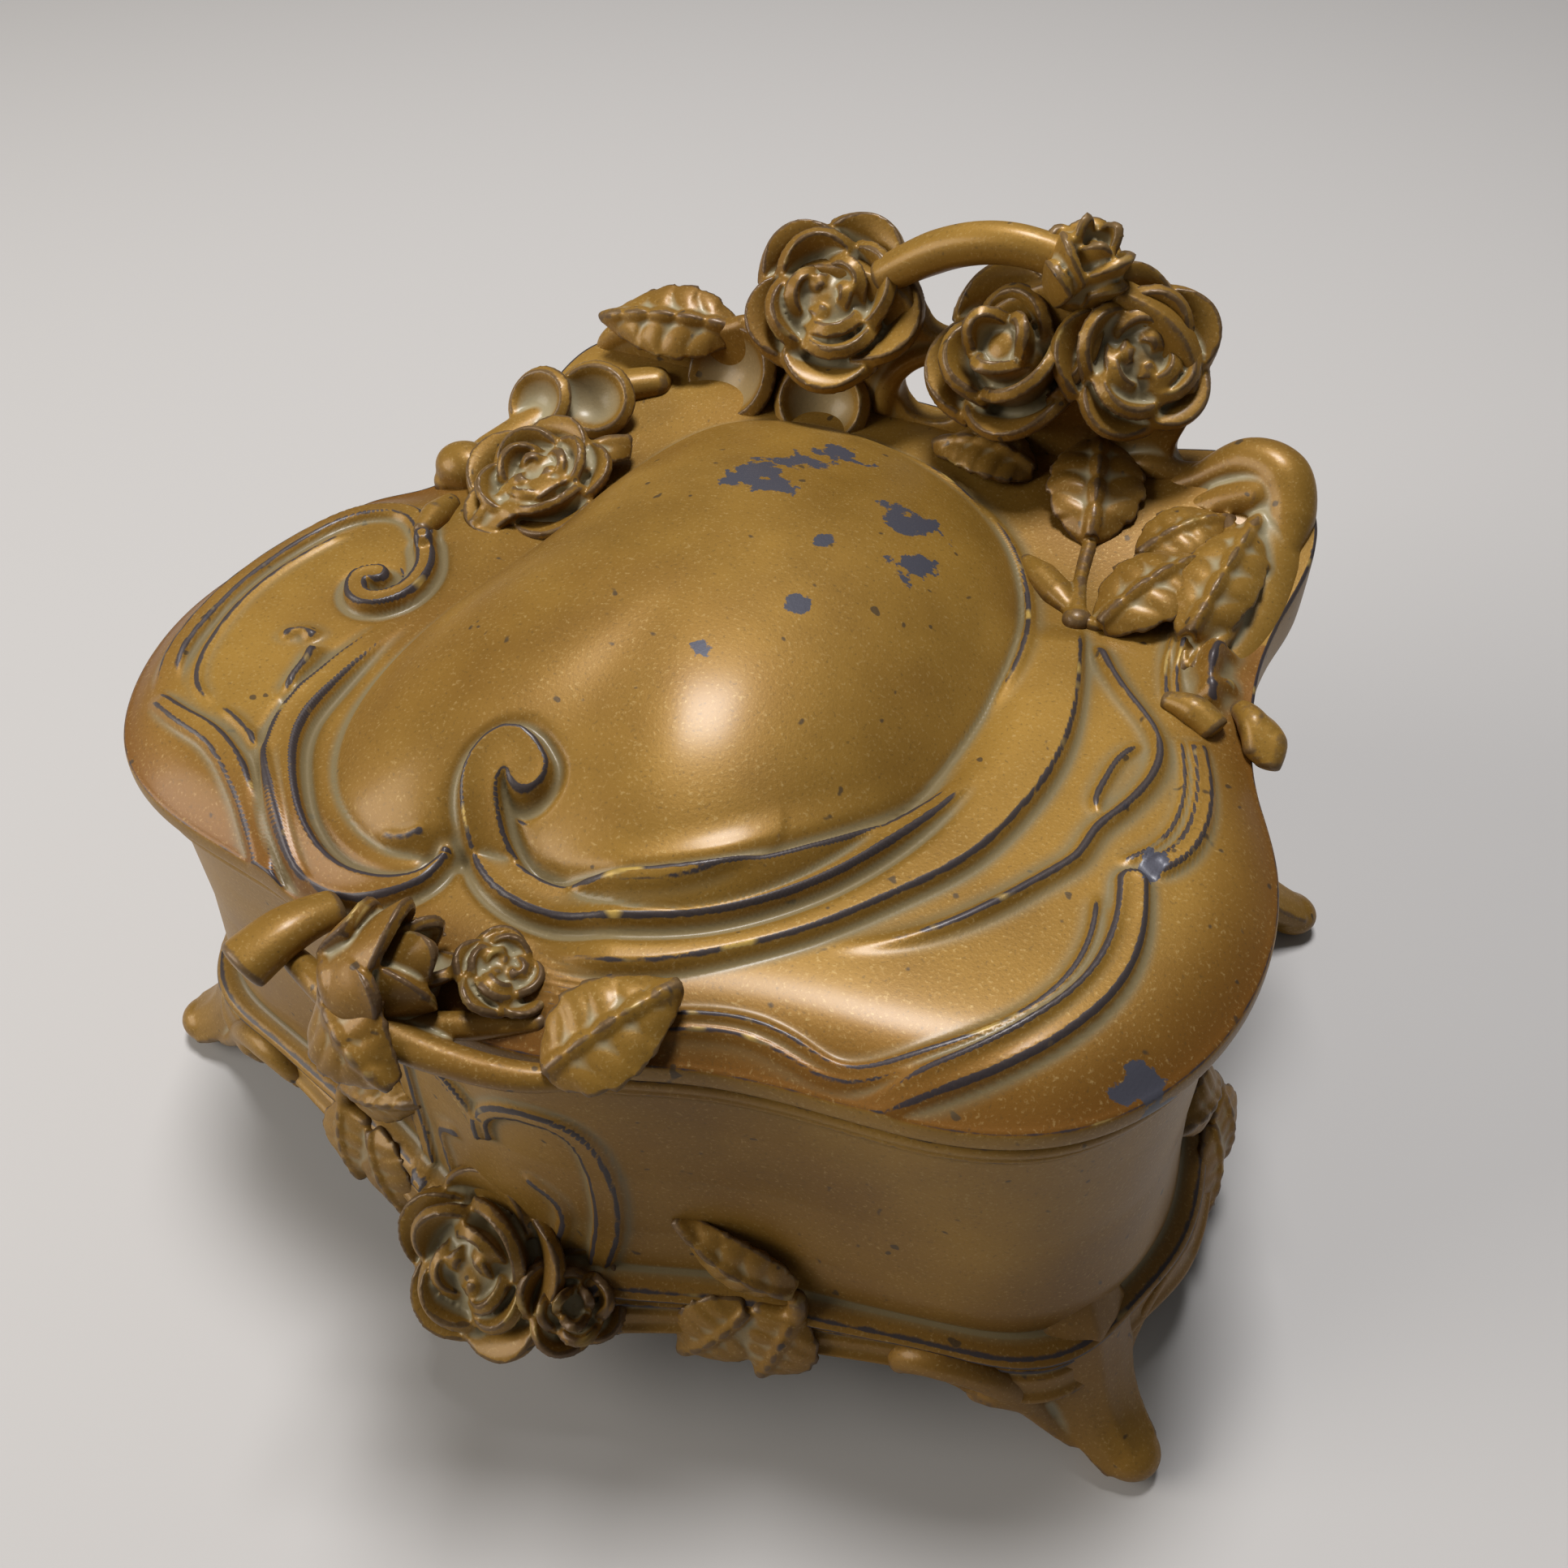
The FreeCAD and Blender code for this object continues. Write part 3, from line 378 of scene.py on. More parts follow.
def bloom(radius, rings, turn, thick):
    """Rose of a given radius made from rings of petals round a heart."""
    tall = max(ring[2] for ring in rings)
    parts = [ball((0, 0, radius * 0.20), radius * 0.78, (1, 1, 0.55))]
    parts.append(ball((0, 0, radius * tall * 0.40), radius * 0.48, (1, 1, 0.85 * tall)))
    for count, reach, rise, start, span, curl, first in rings:
        for i in range(count):
            heading = turn + first + 2 * math.pi * i / count
            vary = 1 + 0.06 * math.sin(5.1 * i + 9 * first + turn)
            parts.append(petal(radius * reach * vary, radius * rise * vary, radius * start, span, heading,
                               radius * curl, thick))
    return parts


def bowl(radius, depth, thick):
    """Round shallow petal, hollow toward z, with a turned rim."""
    s = np.linspace(0.02, 1, 16)[:, None]
    a = np.linspace(0, 2 * math.pi, 48)[None]
    r = radius * s * (1 + 0.05 * np.cos(2 * a))
    z = depth * s ** 2.2 + 0.25 * depth * np.sin(a) * s
    return [sheet(np.stack([r * np.cos(a), r * np.sin(a), z + 0 * a], -1), thick)]


def leaf(length, width, bend, thick=1.3, teeth=6):
    """Veined, saw-edged leaf along x, arched along its length."""
    t = np.linspace(0.01, 0.995, 70)[:, None]
    s = np.linspace(-1, 1, 33)[None]
    saw = 1 - 0.15 * ((t * teeth) % 1.0)
    half = width / 2 * np.sin(math.pi * t ** 0.78) ** 0.85 * saw + 0.25
    y = half * s
    x = length * t - 0.10 * length * np.abs(s) ** 1.5 * (t - 0.3)
    vein = np.abs(np.sin(math.pi * (t * 5.2 - 0.75 * np.abs(s)))) ** 0.5
    z = length * bend * (1 - (2 * t - 1) ** 2) + 0.035 * length * (np.abs(s) ** 1.6) * -1.2
    z = z + 0.034 * length * vein * (1 - np.abs(s) ** 4) * np.sin(math.pi * t) ** 0.5
    z = z + 0.045 * length * np.exp(-(y / (0.045 * width)) ** 2)
    return [sheet(np.stack([x, y + 0 * t, z], -1), thick)]


def sweep(points, widths, flat=1.0, up=(0, 0, 1), count=60, sides=24, shape=None):
    """Bar along a smooth path, of given half widths, its section flattened along up."""
    path = spline(points, count)
    share = np.linspace(0, 1, count)
    size = np.interp(share, np.linspace(0, 1, len(widths)), widths)
    tip = np.minimum(np.arange(count), np.arange(count)[::-1]) / 3.0
    size = size * np.sqrt(np.clip(1 - (1 - np.clip(tip, 0, 1)) ** 2, 0.03, 1))
    along = np.gradient(path, axis=0)
    along /= np.linalg.norm(along, axis=1)[:, None]
    side = np.cross(np.broadcast_to(np.array(up, float), along.shape), along)
    side /= np.maximum(np.linalg.norm(side, axis=1)[:, None], 1e-6)
    over = np.cross(along, side)
    a = np.linspace(0, 2 * math.pi, sides, endpoint=False)
    wave = np.ones(sides) if shape is None else shape(a)
    ring_side = side[:, None] * (np.cos(a) * wave)[None, :, None]
    ring_over = over[:, None] * (np.sin(a) * wave * flat)[None, :, None]
    verts = (path[:, None] + size[:, None, None] * (ring_side + ring_over)).reshape(-1, 3)
    return verts, capped_faces(count, sides)


def slab(loop, holes, low, high):
    """Plate between two y places over loops of x and z."""
    rings = [[Vector((x, z, 0)) for x, z in ring] for ring in [loop] + holes]
    flat = np.array([(v.x, v.y) for ring in rings for v in ring])
    size = len(flat)
    front = np.column_stack([flat[:, 0], np.full(size, low), flat[:, 1]])
    back = np.column_stack([flat[:, 0], np.full(size, high), flat[:, 1]])
    faces = []
    for tri in tessellate_polygon(rings):
        a, b, c = tri
        p = flat[[a, b, c]]
        area = (p[1, 0] - p[0, 0]) * (p[2, 1] - p[0, 1]) - (p[1, 1] - p[0, 1]) * (p[2, 0] - p[0, 0])
        if area < 0:
            a, b, c = c, b, a
        faces.append([a, b, c])
        faces.append([c + size, b + size, a + size])
    first = 0
    for ring in rings:
        n = len(ring)
        for i in range(n):
            j = (i + 1) % n
            faces.append([first + i, first + i + size, first + j + size, first + j])
        first += n
    return np.vstack([front, back]), faces


# Finishes
def join(tree, made, inputs):
    """Joins sockets to a node's inputs and sets those that are plain values."""
    for key, value in inputs.items():
        if isinstance(value, bpy.types.NodeSocket):
            tree.links.new(value, made.inputs[key])
        else:
            made.inputs[key].default_value = value


def new_node(tree, kind, inputs, **settings):
    """A node with its settings and inputs."""
    made = tree.nodes.new(kind)
    for name, value in settings.items():
        setattr(made, name, value)
    join(tree, made, inputs)
    return made


def noise(tree, scale, detail, rough=0.55):
    """Noise in object space."""
    space = tree.nodes.get("Texture Coordinate") or tree.nodes.new("ShaderNodeTexCoord")
    inputs = {"Vector": space.outputs["Object"], "Scale": scale, "Detail": detail, "Roughness": rough}
    return new_node(tree, "ShaderNodeTexNoise", inputs).outputs["Fac"]


# Places of the colour sockets on a mix node
MIX_FACTOR = 0
MIX_A = 6
MIX_B = 7
MIX_RESULT = 2


def mix(tree, factor, a, b):
    """Colour between a and b; factor, a and b are sockets or values."""
    inputs = {MIX_FACTOR: factor, MIX_A: a, MIX_B: b}
    return new_node(tree, "ShaderNodeMix", inputs, data_type="RGBA").outputs[MIX_RESULT]


def ramp(tree, source, low, high, first=0.0, last=1.0):
    """Value remapped from low..high to first..last."""
    inputs = {"Value": source, "From Min": low, "From Max": high, "To Min": first, "To Max": last}
    return new_node(tree, "ShaderNodeMapRange", inputs).outputs["Result"]


def times(tree, a, b, plus=0.0):
    """Product of two values, and a third added to it."""
    return new_node(tree, "ShaderNodeMath", {0: a, 1: b, 2: plus}, operation="MULTIPLY_ADD").outputs[0]


def attribute(tree, name):
    """A stored vertex value."""
    return new_node(tree, "ShaderNodeAttribute", {}, attribute_name=name).outputs["Fac"]


def bump(tree, height, strength, distance):
    """Fine unevenness of a surface."""
    inputs = {"Height": height, "Strength": strength, "Distance": distance}
    return new_node(tree, "ShaderNodeBump", inputs).outputs["Normal"]


def new_finish(name):
    """A plain finish, for surface to fill in."""
    mat = bpy.data.materials.new(name)
    mat.use_nodes = True
    return mat


def surface(mat, inputs):
    """A finish with its sockets and values joined."""
    join(mat.node_tree, mat.node_tree.nodes["Principled BSDF"], inputs)
    return mat


def mask_group():
    """Shared mask: worn edges and dusty hollows from the stored values."""
    group = bpy.data.node_groups.new("cast_masks", "ShaderNodeTree")
    for name, way in (("Edge", "INPUT"), ("Break", "INPUT"), ("Worn", "OUTPUT"), ("Dusty", "OUTPUT")):
        group.interface.new_socket(name, in_out=way, socket_type="NodeSocketFloat")
    inlet = group.nodes.new("NodeGroupInput")
    raised = times(group, inlet.outputs["Break"], 0.030, attribute(group, "ridge"))
    worn = times(group, ramp(group, raised, 0.046, 0.062), inlet.outputs["Edge"])
    dusty = ramp(group, attribute(group, "swell"), -0.015, -0.20)
    new_node(group, "NodeGroupOutput", {"Worn": worn, "Dusty": dusty})
    return group


MASKS = mask_group()

# Colours of the gilt finish and of what shows where it is stained, pitted, dusty or gone; the lip's colour is
# partly its own browner tone, partly painted shade
GILT_DARK = (0.174, 0.090, 0.013, 1)
GILT_LIGHT = (0.306, 0.170, 0.030, 1)
STAIN = (0.150, 0.068, 0.011, 1)
# Browner tone with painted shade, for the lid's rolled lip
LIP_TONE_AND_SHADE = (0.150, 0.058, 0.009, 1)
GRAIN = (0.43, 0.30, 0.12, 1)
PIT = (0.080, 0.050, 0.016, 1)
NICK = (0.050, 0.036, 0.022, 1)
DUST = (0.168, 0.142, 0.078, 1)
ROSE_DUST = (0.270, 0.225, 0.130, 1)
BARE_METAL = (0.034, 0.033, 0.042, 1)
GLINT = (0.44, 0.29, 0.07, 1)
CHIP = (0.062, 0.062, 0.078, 1)


def gilt_material(name, edge, chips, haze, dusted):
    """Satin gilt finish, worn to dark metal on edges, dusty in hollows."""
    mat = new_finish(name)
    tree = mat.node_tree
    cloud = noise(tree, 38.0, 4.0)
    stain = noise(tree, 24.0, 3.0)
    speck = noise(tree, 2600.0, 3.0)
    nick = noise(tree, 520.0, 1.0)
    breakup = ramp(tree, noise(tree, 420.0, 4.0, 0.65), 0.30, 0.75)
    bright = ramp(tree, noise(tree, 170.0, 2.0), 0.62, 0.70)
    masks = new_node(tree, "ShaderNodeGroup", {"Edge": edge, "Break": breakup}, node_tree=MASKS)
    worn = masks.outputs["Worn"]
    dusty = masks.outputs["Dusty"]
    layers = [
        (times(tree, ramp(tree, stain, 0.46, 0.64), 0.55), STAIN),
        # Browner tone and painted shade along the lid's rolled lip
        (times(tree, attribute(tree, "lip"), 0.85), LIP_TONE_AND_SHADE),
        (times(tree, ramp(tree, speck, 0.58, 0.74), 0.45), GRAIN),
        (times(tree, ramp(tree, speck, 0.40, 0.28), 0.45), PIT),
        (times(tree, ramp(tree, nick, 0.27, 0.23), 0.80), NICK),
        (times(tree, dusty, haze), dusted),
        (worn, BARE_METAL),
        (times(tree, worn, bright), GLINT),
    ]
    if chips:
        flaking = times(tree, noise(tree, 260.0, 5.0, 0.6), 1.3, attribute(tree, "flake"))
        layers.append((ramp(tree, flaking, 1.12, 1.15), CHIP))
    base = mix(tree, ramp(tree, cloud, 0.30, 0.70), GILT_DARK, GILT_LIGHT)
    for share, colour in layers:
        base = mix(tree, share, base, colour)
    return surface(mat, {
        "Base Color": base,
        "Metallic": ramp(tree, dusty, 0.0, 1.0, 0.28, 0.06),
        "Roughness": ramp(tree, cloud, 0.3, 0.7, 0.44, 0.54),
        "Specular IOR Level": 0.15,
        "Coat Weight": 0.22,
        "Coat Roughness": 0.23,
        "Normal": bump(tree, speck, 0.14, 0.0002),
    })


def metal_material(name, dark, light, rough):
    """Plain metal with tarnish clouds and fine scratches."""
    mat = new_finish(name)
    tree = mat.node_tree
    tarnish = ramp(tree, noise(tree, 160.0, 5.0), 0.35, 0.68)
    return surface(mat, {
        "Base Color": mix(tree, tarnish, dark, light),
        "Roughness": ramp(tree, noise(tree, 1800.0, 2.0), 0.3, 0.7, rough, rough + 0.15),
        "Metallic": 0.85,
    })


def satin_material():
    """Aged ivory satin with a faint weave."""
    mat = new_finish("lining_satin_aged")
    tree = mat.node_tree
    cloud = ramp(tree, noise(tree, 60.0, 4.0), 0.32, 0.68)
    thread = noise(tree, 2600.0, 2.0)
    return surface(mat, {
        "Base Color": mix(tree, cloud, (0.47, 0.36, 0.23, 1), (0.62, 0.52, 0.37, 1)),
        "Roughness": ramp(tree, thread, 0.3, 0.7, 0.36, 0.50),
        "Sheen Weight": 0.3,
        "Normal": bump(tree, thread, 0.10, 0.0001),
    })


GILT = gilt_material("gilt_worn", 0.9, False, 0.75, DUST)
GILT_LID = gilt_material("gilt_lid", 0.9, True, 0.75, DUST)
GILT_ROSES = gilt_material("gilt_roses", 0.5, False, 1.0, ROSE_DUST)
BRASS = metal_material("hinge_brass_aged", (0.20, 0.12, 0.035, 1), (0.46, 0.32, 0.11, 1), 0.30)
PLATE = metal_material("plate_dull", (0.13, 0.085, 0.035, 1), (0.24, 0.16, 0.06, 1), 0.46)
SATIN = satin_material()


def finish_piece(ob, body, slot, material, *nodes):
    """Attaches a piece to its body, gives it its finish and hides the CAD parts of the nodes it stands for.
    """
    ob.data.materials.clear()
    ob.data.materials.append(material)
    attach(ob, body)
    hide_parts(*nodes)


def shift(points):
    """Plan points moved from the middle of the feet to the part's frame."""
    moved = np.array(points, float)
    moved[:, 1] += SHIFT
    return moved


# Lid casting: how far its forms rise, and where the ground begins to rise toward the back
EDGE_RISE = 2.4
ROLL_RISE = 4.0
BACK_RISE = 4.0
EAR_RISE = 4.0
DOME_RISE = 12.6
BACK_START = 16.0
DOME_MIDDLE = (-1.0, -5.0)
DOME = ((29.9, -3.1), (28.9, 10.5), (23.1, 23.1), (11.4, 31.9), (-6.1, 35.3), (-19.7, 30.9), (-26.4, 18.3),
        (-28.4, 1.8), (-31.3, -14.8), (-31.3, -29.3), (-24.5, -41.9), (-14.8, -45.3), (-4.1, -42.4),
        (9.5, -43.4), (21.1, -36.1), (27.9, -20.6))


def dome_share(q):
    """0 at the dome's middle, 1 on its egg outline, more outside."""
    loop = spline(DOME, 240, True)
    rel = loop - DOME_MIDDLE
    angle = np.arctan2(rel[:, 1], rel[:, 0])
    order = np.argsort(angle)
    reach = np.linalg.norm(rel, axis=1)[order]
    v = q - DOME_MIDDLE
    want = np.arctan2(v[:, 1], v[:, 0])
    return np.hypot(v[:, 0], v[:, 1]) / np.interp(want, angle[order], reach, period=2 * math.pi)


def lid_height(q, inside):
    """Height of the lid's upper face at plan points a given depth inside its edge."""
    x = q[:, 0]
    y = q[:, 1]
    hold = ease(y / BACK_START)
    roll = ROLL_RISE * (1 - np.exp(-(inside / 4.0) ** 1.35))
    z = RIM + EDGE_RISE + roll + (ROLL_RISE - roll) * hold * 0.9
    z += BACK_RISE * ease((y - BACK_START) / (BACK_DEPTH - BACK_START))
    z += EAR_RISE * np.exp(-(np.hypot(x - 50.0, y - BACK_DEPTH) / 11.0) ** 2 / 2)
    z += DOME_RISE * np.clip(1 - dome_share(q) ** 2.3, 0, None) ** 0.80
    return z + dome_relief(q) + right_relief(q) + lobe_relief(q) + ear_relief(q)


def dome_relief(q):
    """Scroll bands round the dome, with the raised ground that they stand on."""
    z = step(q, ((3.3, -49.7), (9.0, -49.2), (14.5, -47.1), (20.5, -42.9), (26.1, -37.7), (31.2, -31.1),
                 (36.2, -23.1), (38.3, -16.4), (39.4, -9.8), (39.4, -3.4), (38.4, 2.9), (36.3, 10.6),
                 (34.8, 15.2)), 1.5, 1.3, 12.0, (0.10, 0.06))
    z += band(q, ((-4.9, -35.6), (-7.3, -34.6), (-8.8, -36.8), (-7.4, -40.5), (-4.0, -43.4), (0.3, -44.7),
                  (5.3, -44.3), (11.0, -42.3), (16.2, -39.4), (20.8, -35.4), (25.0, -30.1), (28.7, -23.2),
                  (31.1, -16.6), (32.6, -10.3)), 1.7, (2.2, 1.9, 1.9, 1.9, 1.7, 1.2, 0.6), (0.0, 0.25), 0.9,
              0.5)
    z += band(q, ((-9.8, -44.1), (-10.3, -47.0), (-13.2, -49.4), (-17.3, -50.2), (-22.1, -49.4),
                  (-26.6, -47.1), (-30.9, -43.2), (-34.5, -38.5), (-36.2, -34.1), (-36.6, -29.5),
                  (-36.6, -21.7), (-35.4, -14.3)), 1.6, (0.5, 1.5, 1.8, 1.8, 1.8, 1.6, 1.0), (0.0, 0.35),
              0.9, 0.4)
    z += ridge(q, ((-1.9, -38.5), (3.4, -42.0), (11.7, -41.2), (17.9, -35.8), (19.5, -30.6), (17.2, -27.4)),
               0.8, 2.4, 0.5, (0.35, 0.4))
    z += ridge(q, ((29.8, -6.0), (30.6, 3.8), (29.6, 10.9), (26.4, 19.0), (18.4, 27.8), (10.5, 31.0),
                   (1.9, 33.2)), 0.8, 0.6, 0.9, (0.2, 0.2))
    z += ridge(q, ((-18.0, -44.7), (-14.4, -44.4), (-12.1, -42.8)), 0.5, 0.6, 0.6, (0.3, 0.2), 24)
    for i in range(8):
        drop = 0.75 * i
        line = ((2.6 + drop, -50.2 - drop), (7.5 + 0.6 * drop, -50.0 - drop),
                (12.6 + 0.3 * drop, -48.4 - drop))
        z += ridge(q, line, 0.22, 0.3, 0.3, (0.3, 0.3), 16)
    return z


def right_relief(q):
    """Stem lines and the rolled edge on the right of the dome."""
    z = ridge(q, ((37.0, 12.6), (40.2, 8.2), (43.4, 4.8), (45.8, 2.5), (47.8, -0.5), (48.4, -3.5),
                  (47.9, -7.5), (46.8, -10.9), (45.4, -14.5), (44.9, -18.0), (43.2, -21.5), (40.3, -26.3),
                  (36.8, -31.0), (32.2, -35.2), (26.5, -38.6)), 1.2, 0.8, 0.8, (0.04, 0.3), 90)
    z += ridge(q, ((46.3, -0.3), (44.7, -3.6), (44.2, -7.6), (44.3, -10.6), (45.5, -12.7)), 0.7, 0.6, 0.6,
               (0.2, 0.2))
    z += band(q, ((50.5, -19.2), (51.8, -25.1), (51.4, -31.2), (48.9, -37.1), (44.0, -43.5), (39.6, -47.3),
                  (36.2, -49.6), (32.8, -50.3)), 1.3, (1.5, 1.6, 1.6, 1.2, 0.7), (0.0, 0.3), 0.8)
    for inset in (0.0, 1.3):
        z += ridge(q, ((47.8 + inset, -21.3), (48.8 + inset, -26.3), (48.2 + inset, -32.5),
                       (44.6 + 0.8 * inset, -39.2 - 0.4 * inset), (39.2 + 0.4 * inset, -44.4 - 0.7 * inset),
                       (33.1, -47.7 - 0.8 * inset), (29.9, -47.4 - inset), (25.1, -47.3 - inset),
                       (20.3, -48.6 - inset), (16.6, -50.2 - inset)), 0.6, 0.5, 0.5, (0.06, 0.06), 80)
    z += band(q, ((50.8, 3.2), (53.1, -2.8), (54.1, -8.4), (53.3, -14.0), (51.1, -17.2)), 1.0,
              (0.9, 1.1, 1.1), (0.1, 0.1), 0.8, 0.0, 60)
    z += ridge(q, ((49.3, 2.5), (51.4, -3.6), (52.1, -9.4), (51.0, -13.9), (48.4, -17.4)), 0.5, 0.5, 0.5)
    return z


def lobe_relief(q):
    """Rolled rim and curl of the left lobe."""
    z = band(q, ((-41.2, -4.4), (-43.6, -1.6), (-47.8, 0.6), (-53.4, -1.9), (-56.8, -8.5), (-57.9, -17.8),
                 (-57.0, -27.2), (-55.4, -32.8), (-52.2, -37.6)), 1.3, (1.2, 1.5, 1.6, 1.6, 1.4),
             (0.0, 0.15), 1.2)
    z += band(q, ((-41.2, -4.4), (-38.8, -7.6), (-37.8, -11.0), (-38.6, -14.4), (-40.8, -16.0),
                  (-43.2, -15.0), (-43.9, -12.8), (-42.6, -11.8)), 1.9, (1.2, 1.2, 1.3, 1.5), (0.0, 0.0),
              0.9, 0.3, 70)
    z += ridge(q, ((-51.6, -4.5), (-54.0, -11.4), (-55.0, -19.2), (-53.9, -26.4), (-52.0, -31.6),
                   (-49.6, -34.8), (-45.2, -36.9)), 0.5, 0.6, 0.6)
    z += band(q, ((-54.5, -37.4), (-47.1, -39.6), (-43.0, -40.4), (-37.7, -42.8), (-33.7, -45.5),
                  (-30.0, -48.7), (-26.0, -52.4), (-21.8, -55.7)), 1.1, (0.8, 1.2, 1.3, 1.2, 0.8),
              (0.1, 0.1), 0.9)
    z += ridge(q, ((-45.6, -36.4), (-39.4, -38.4), (-34.5, -41.3), (-29.2, -45.8), (-24.8, -49.6),
                   (-20.6, -52.5)), 0.6, 0.6, 0.6)
    z += ridge(q, ((-41.8, -24.2), (-40.4, -27.4), (-39.8, -30.4), (-38.4, -33.0)), 1.5, 1.1, 0.8,
               (0.2, 0.3), 30)
    z += ridge(q, ((-46.5, -25.4), (-44.6, -23.2), (-42.0, -23.6)), 0.9, 1.0, 0.8, (0.3, 0.2), 24)
    return z


def ear_relief(q):
    """Folds that fan out from the tab to the right back ear."""
    z = np.zeros(len(q))
    folds = (
        (((50.1, 8.3), (49.8, 12.6), (50.4, 15.9), (52.4, 16.4)), 1.6, 1.0),
        (((50.9, 8.1), (51.4, 11.2), (53.0, 12.8)), 1.3, 0.9),
        (((49.4, 9.6), (48.8, 19.1), (50.0, 24.2), (53.4, 27.4)), 2.0, 1.4),
        (((46.9, 12.0), (46.0, 18.0), (46.4, 23.4), (48.0, 28.2), (52.2, 31.2)), 1.9, 1.2),
        (((47.1, 5.8), (45.0, 12.5), (44.3, 18.8)), 0.5, 0.45),
        (((48.0, 6.5), (46.1, 12.8), (45.5, 19.6)), 0.5, 0.45),
    )
    for points, height, width in folds:
        z += ridge(q, points, height, width, width, (0.2, 0.25), 40)
    return z


def edge_depth(q, loop):
    """Depth inside the edge for rows of points that run round the loop."""
    depth = np.full(len(q), 1e9)
    for i in range(0, len(loop), 4):
        depth = np.minimum(depth, np.hypot(q[:, 0] - loop[i, 0], q[:, 1] - loop[i, 1]))
    rows = q.reshape(-1, len(loop), 2)
    depth = depth.reshape(rows.shape[:2])
    for k in range(-12, 13):
        start = np.roll(loop, k, 0)
        along = np.roll(loop, k - 1, 0) - start
        away = rows - start
        t = np.clip((away * along).sum(2) / (along ** 2).sum(1), 0, 1)
        depth = np.minimum(depth, np.linalg.norm(away - t[..., None] * along, axis=2))
    return depth.ravel()


# Rolled lip in rows: how far out of the outline, and which share of the way down to the rim
LIP_ROWS = (
    (0.14, 0.10), (0.20, 0.22), (0.25, 0.36), (0.28, 0.50), (0.30, 0.64), (0.30, 0.77), (0.26, 0.88),
    (0.16, 0.96), (-0.30, 1.0), (-1.0, 1.0), (-3.0, 1.0), (-3.4, 0.6),
)
# How far in the browner tone and painted shade of the lip reach, and where they end toward the back
LIP_TONE_AND_SHADE_REACH = 9.0
LIP_TONE_AND_SHADE_END = 20
# Places and sizes of the flaked spots on the lid
FLAKES = (
    (-3.8, 11.5, 7.0), (0.6, 22.7, 6.5), (13.4, 13.7, 6.0), (17.5, 6.2, 4.5), (10.6, -7.5, 2.6),
    (4.8, -17.6, 2.4), (-1.0, 18.0, 6.0), (8.4, 3.0, 2.5), (57.0, -37.0, 4.5), (51.5, -16.5, 3.2),
)


def make_lid():
    """Lid casting as a closed shell with its relief."""
    cols = 1000
    loop = outline(0, 0, cols, True)
    middle = np.array((0.0, -5.0))
    s = np.linspace(0.012, 1.0, 176)
    q = (middle + s[:, None, None] * (loop - middle)[None]).reshape(-1, 2)
    inside = edge_depth(q, loop)
    z = lid_height(q, inside)
    top = np.column_stack([q, z])
    rim = []
    for out, drop in LIP_ROWS:
        edge = outline(-out, 0, cols, True)
        edge_z = top[-cols:, 2]
        rim.append(np.column_stack([edge, edge_z + (RIM + 0.05 - edge_z) * drop]))
    verts = np.vstack([top] + rim)
    rows = len(s) + len(rim)
    faces = [f[::-1] for f in ring_faces(rows, cols)]
    hub = len(verts)
    under = hub + 1
    centre = np.array([[middle[0], middle[1], z[:cols].mean()], [middle[0], middle[1], RIM + 1.6]])
    verts = np.vstack([verts, centre])
    last = (rows - 1) * cols
    for j in range(cols):
        k = (j + 1) % cols
        faces.append([hub, j, k])
        faces.append([under, last + k, last + j])
    ob = build("lid_casting", shift(verts), faces)
    mark_wear(ob)
    co = coords(ob.data)
    flake = np.zeros(len(co))
    for cx, cy, radius in FLAKES:
        dist = np.hypot(co[:, 0] - cx, co[:, 1] - SHIFT - cy)
        flake = np.maximum(flake, 0.62 * np.clip(1.25 - dist / radius, 0, 1))
    # Lip band: browner tone and painted shade, strongest at the lid's edge, front part only
    lip = np.zeros(len(co))
    lip[:len(inside)] = np.clip(1 - inside / LIP_TONE_AND_SHADE_REACH, 0, 1) * (q[:, 1] < LIP_TONE_AND_SHADE_END)
    store(ob.data, "flake", flake)
    store(ob.data, "lip", lip)
    finish_piece(ob, "lid", "gilt_casting", GILT_LID, "lid_shell")


make_lid()


# Box casting
def wall_inset(z):
    """Inset and corner flare of the wall at a height."""
    share = (z - WALL_FOOT) / (WALL_TOP - WALL_FOOT)
    return np.interp(share, WALL[:, 0], WALL[:, 1]) * WAIST, np.interp(share, WALL[:, 0], WALL[:, 2]) * FLARE


# The apron: how far it stands out, its height, and its lines with their relief, height and width
APRON_OUT = 2.5
APRON_TOP = 20.8
APRON_LINES = ((0.5, 19.7, 0.45), (-0.6, 18.3, 0.4), (-0.5, 16.9, 0.4), (0.5, 13.7, 0.7))


def apron(h):
    """Stepped band along the foot of the wall."""
    out = APRON_OUT * ease(APRON_TOP - h + 0.5)
    for relief, height, width in APRON_LINES:
        out += relief * math.exp(-((h - height) / width) ** 2)
    return out


def corner_tuck(verts):
    """How far wall points draw in beside the front legs."""
    x = verts[:, 0]
    y = verts[:, 1]
    low = ease((27.0 - verts[:, 2]) / 12.0)
    front = ease((-y - 30.0) / 12.0) * np.exp(-((np.abs(x) - 45.0) / 11.0) ** 2)
    beside = ease((np.abs(x) - 44.0) / 12.0) * np.exp(-((y + 35.0) / 9.0) ** 2)
    return np.column_stack([-np.sign(x) * 3.2 * beside * low, 2.6 * front * low])


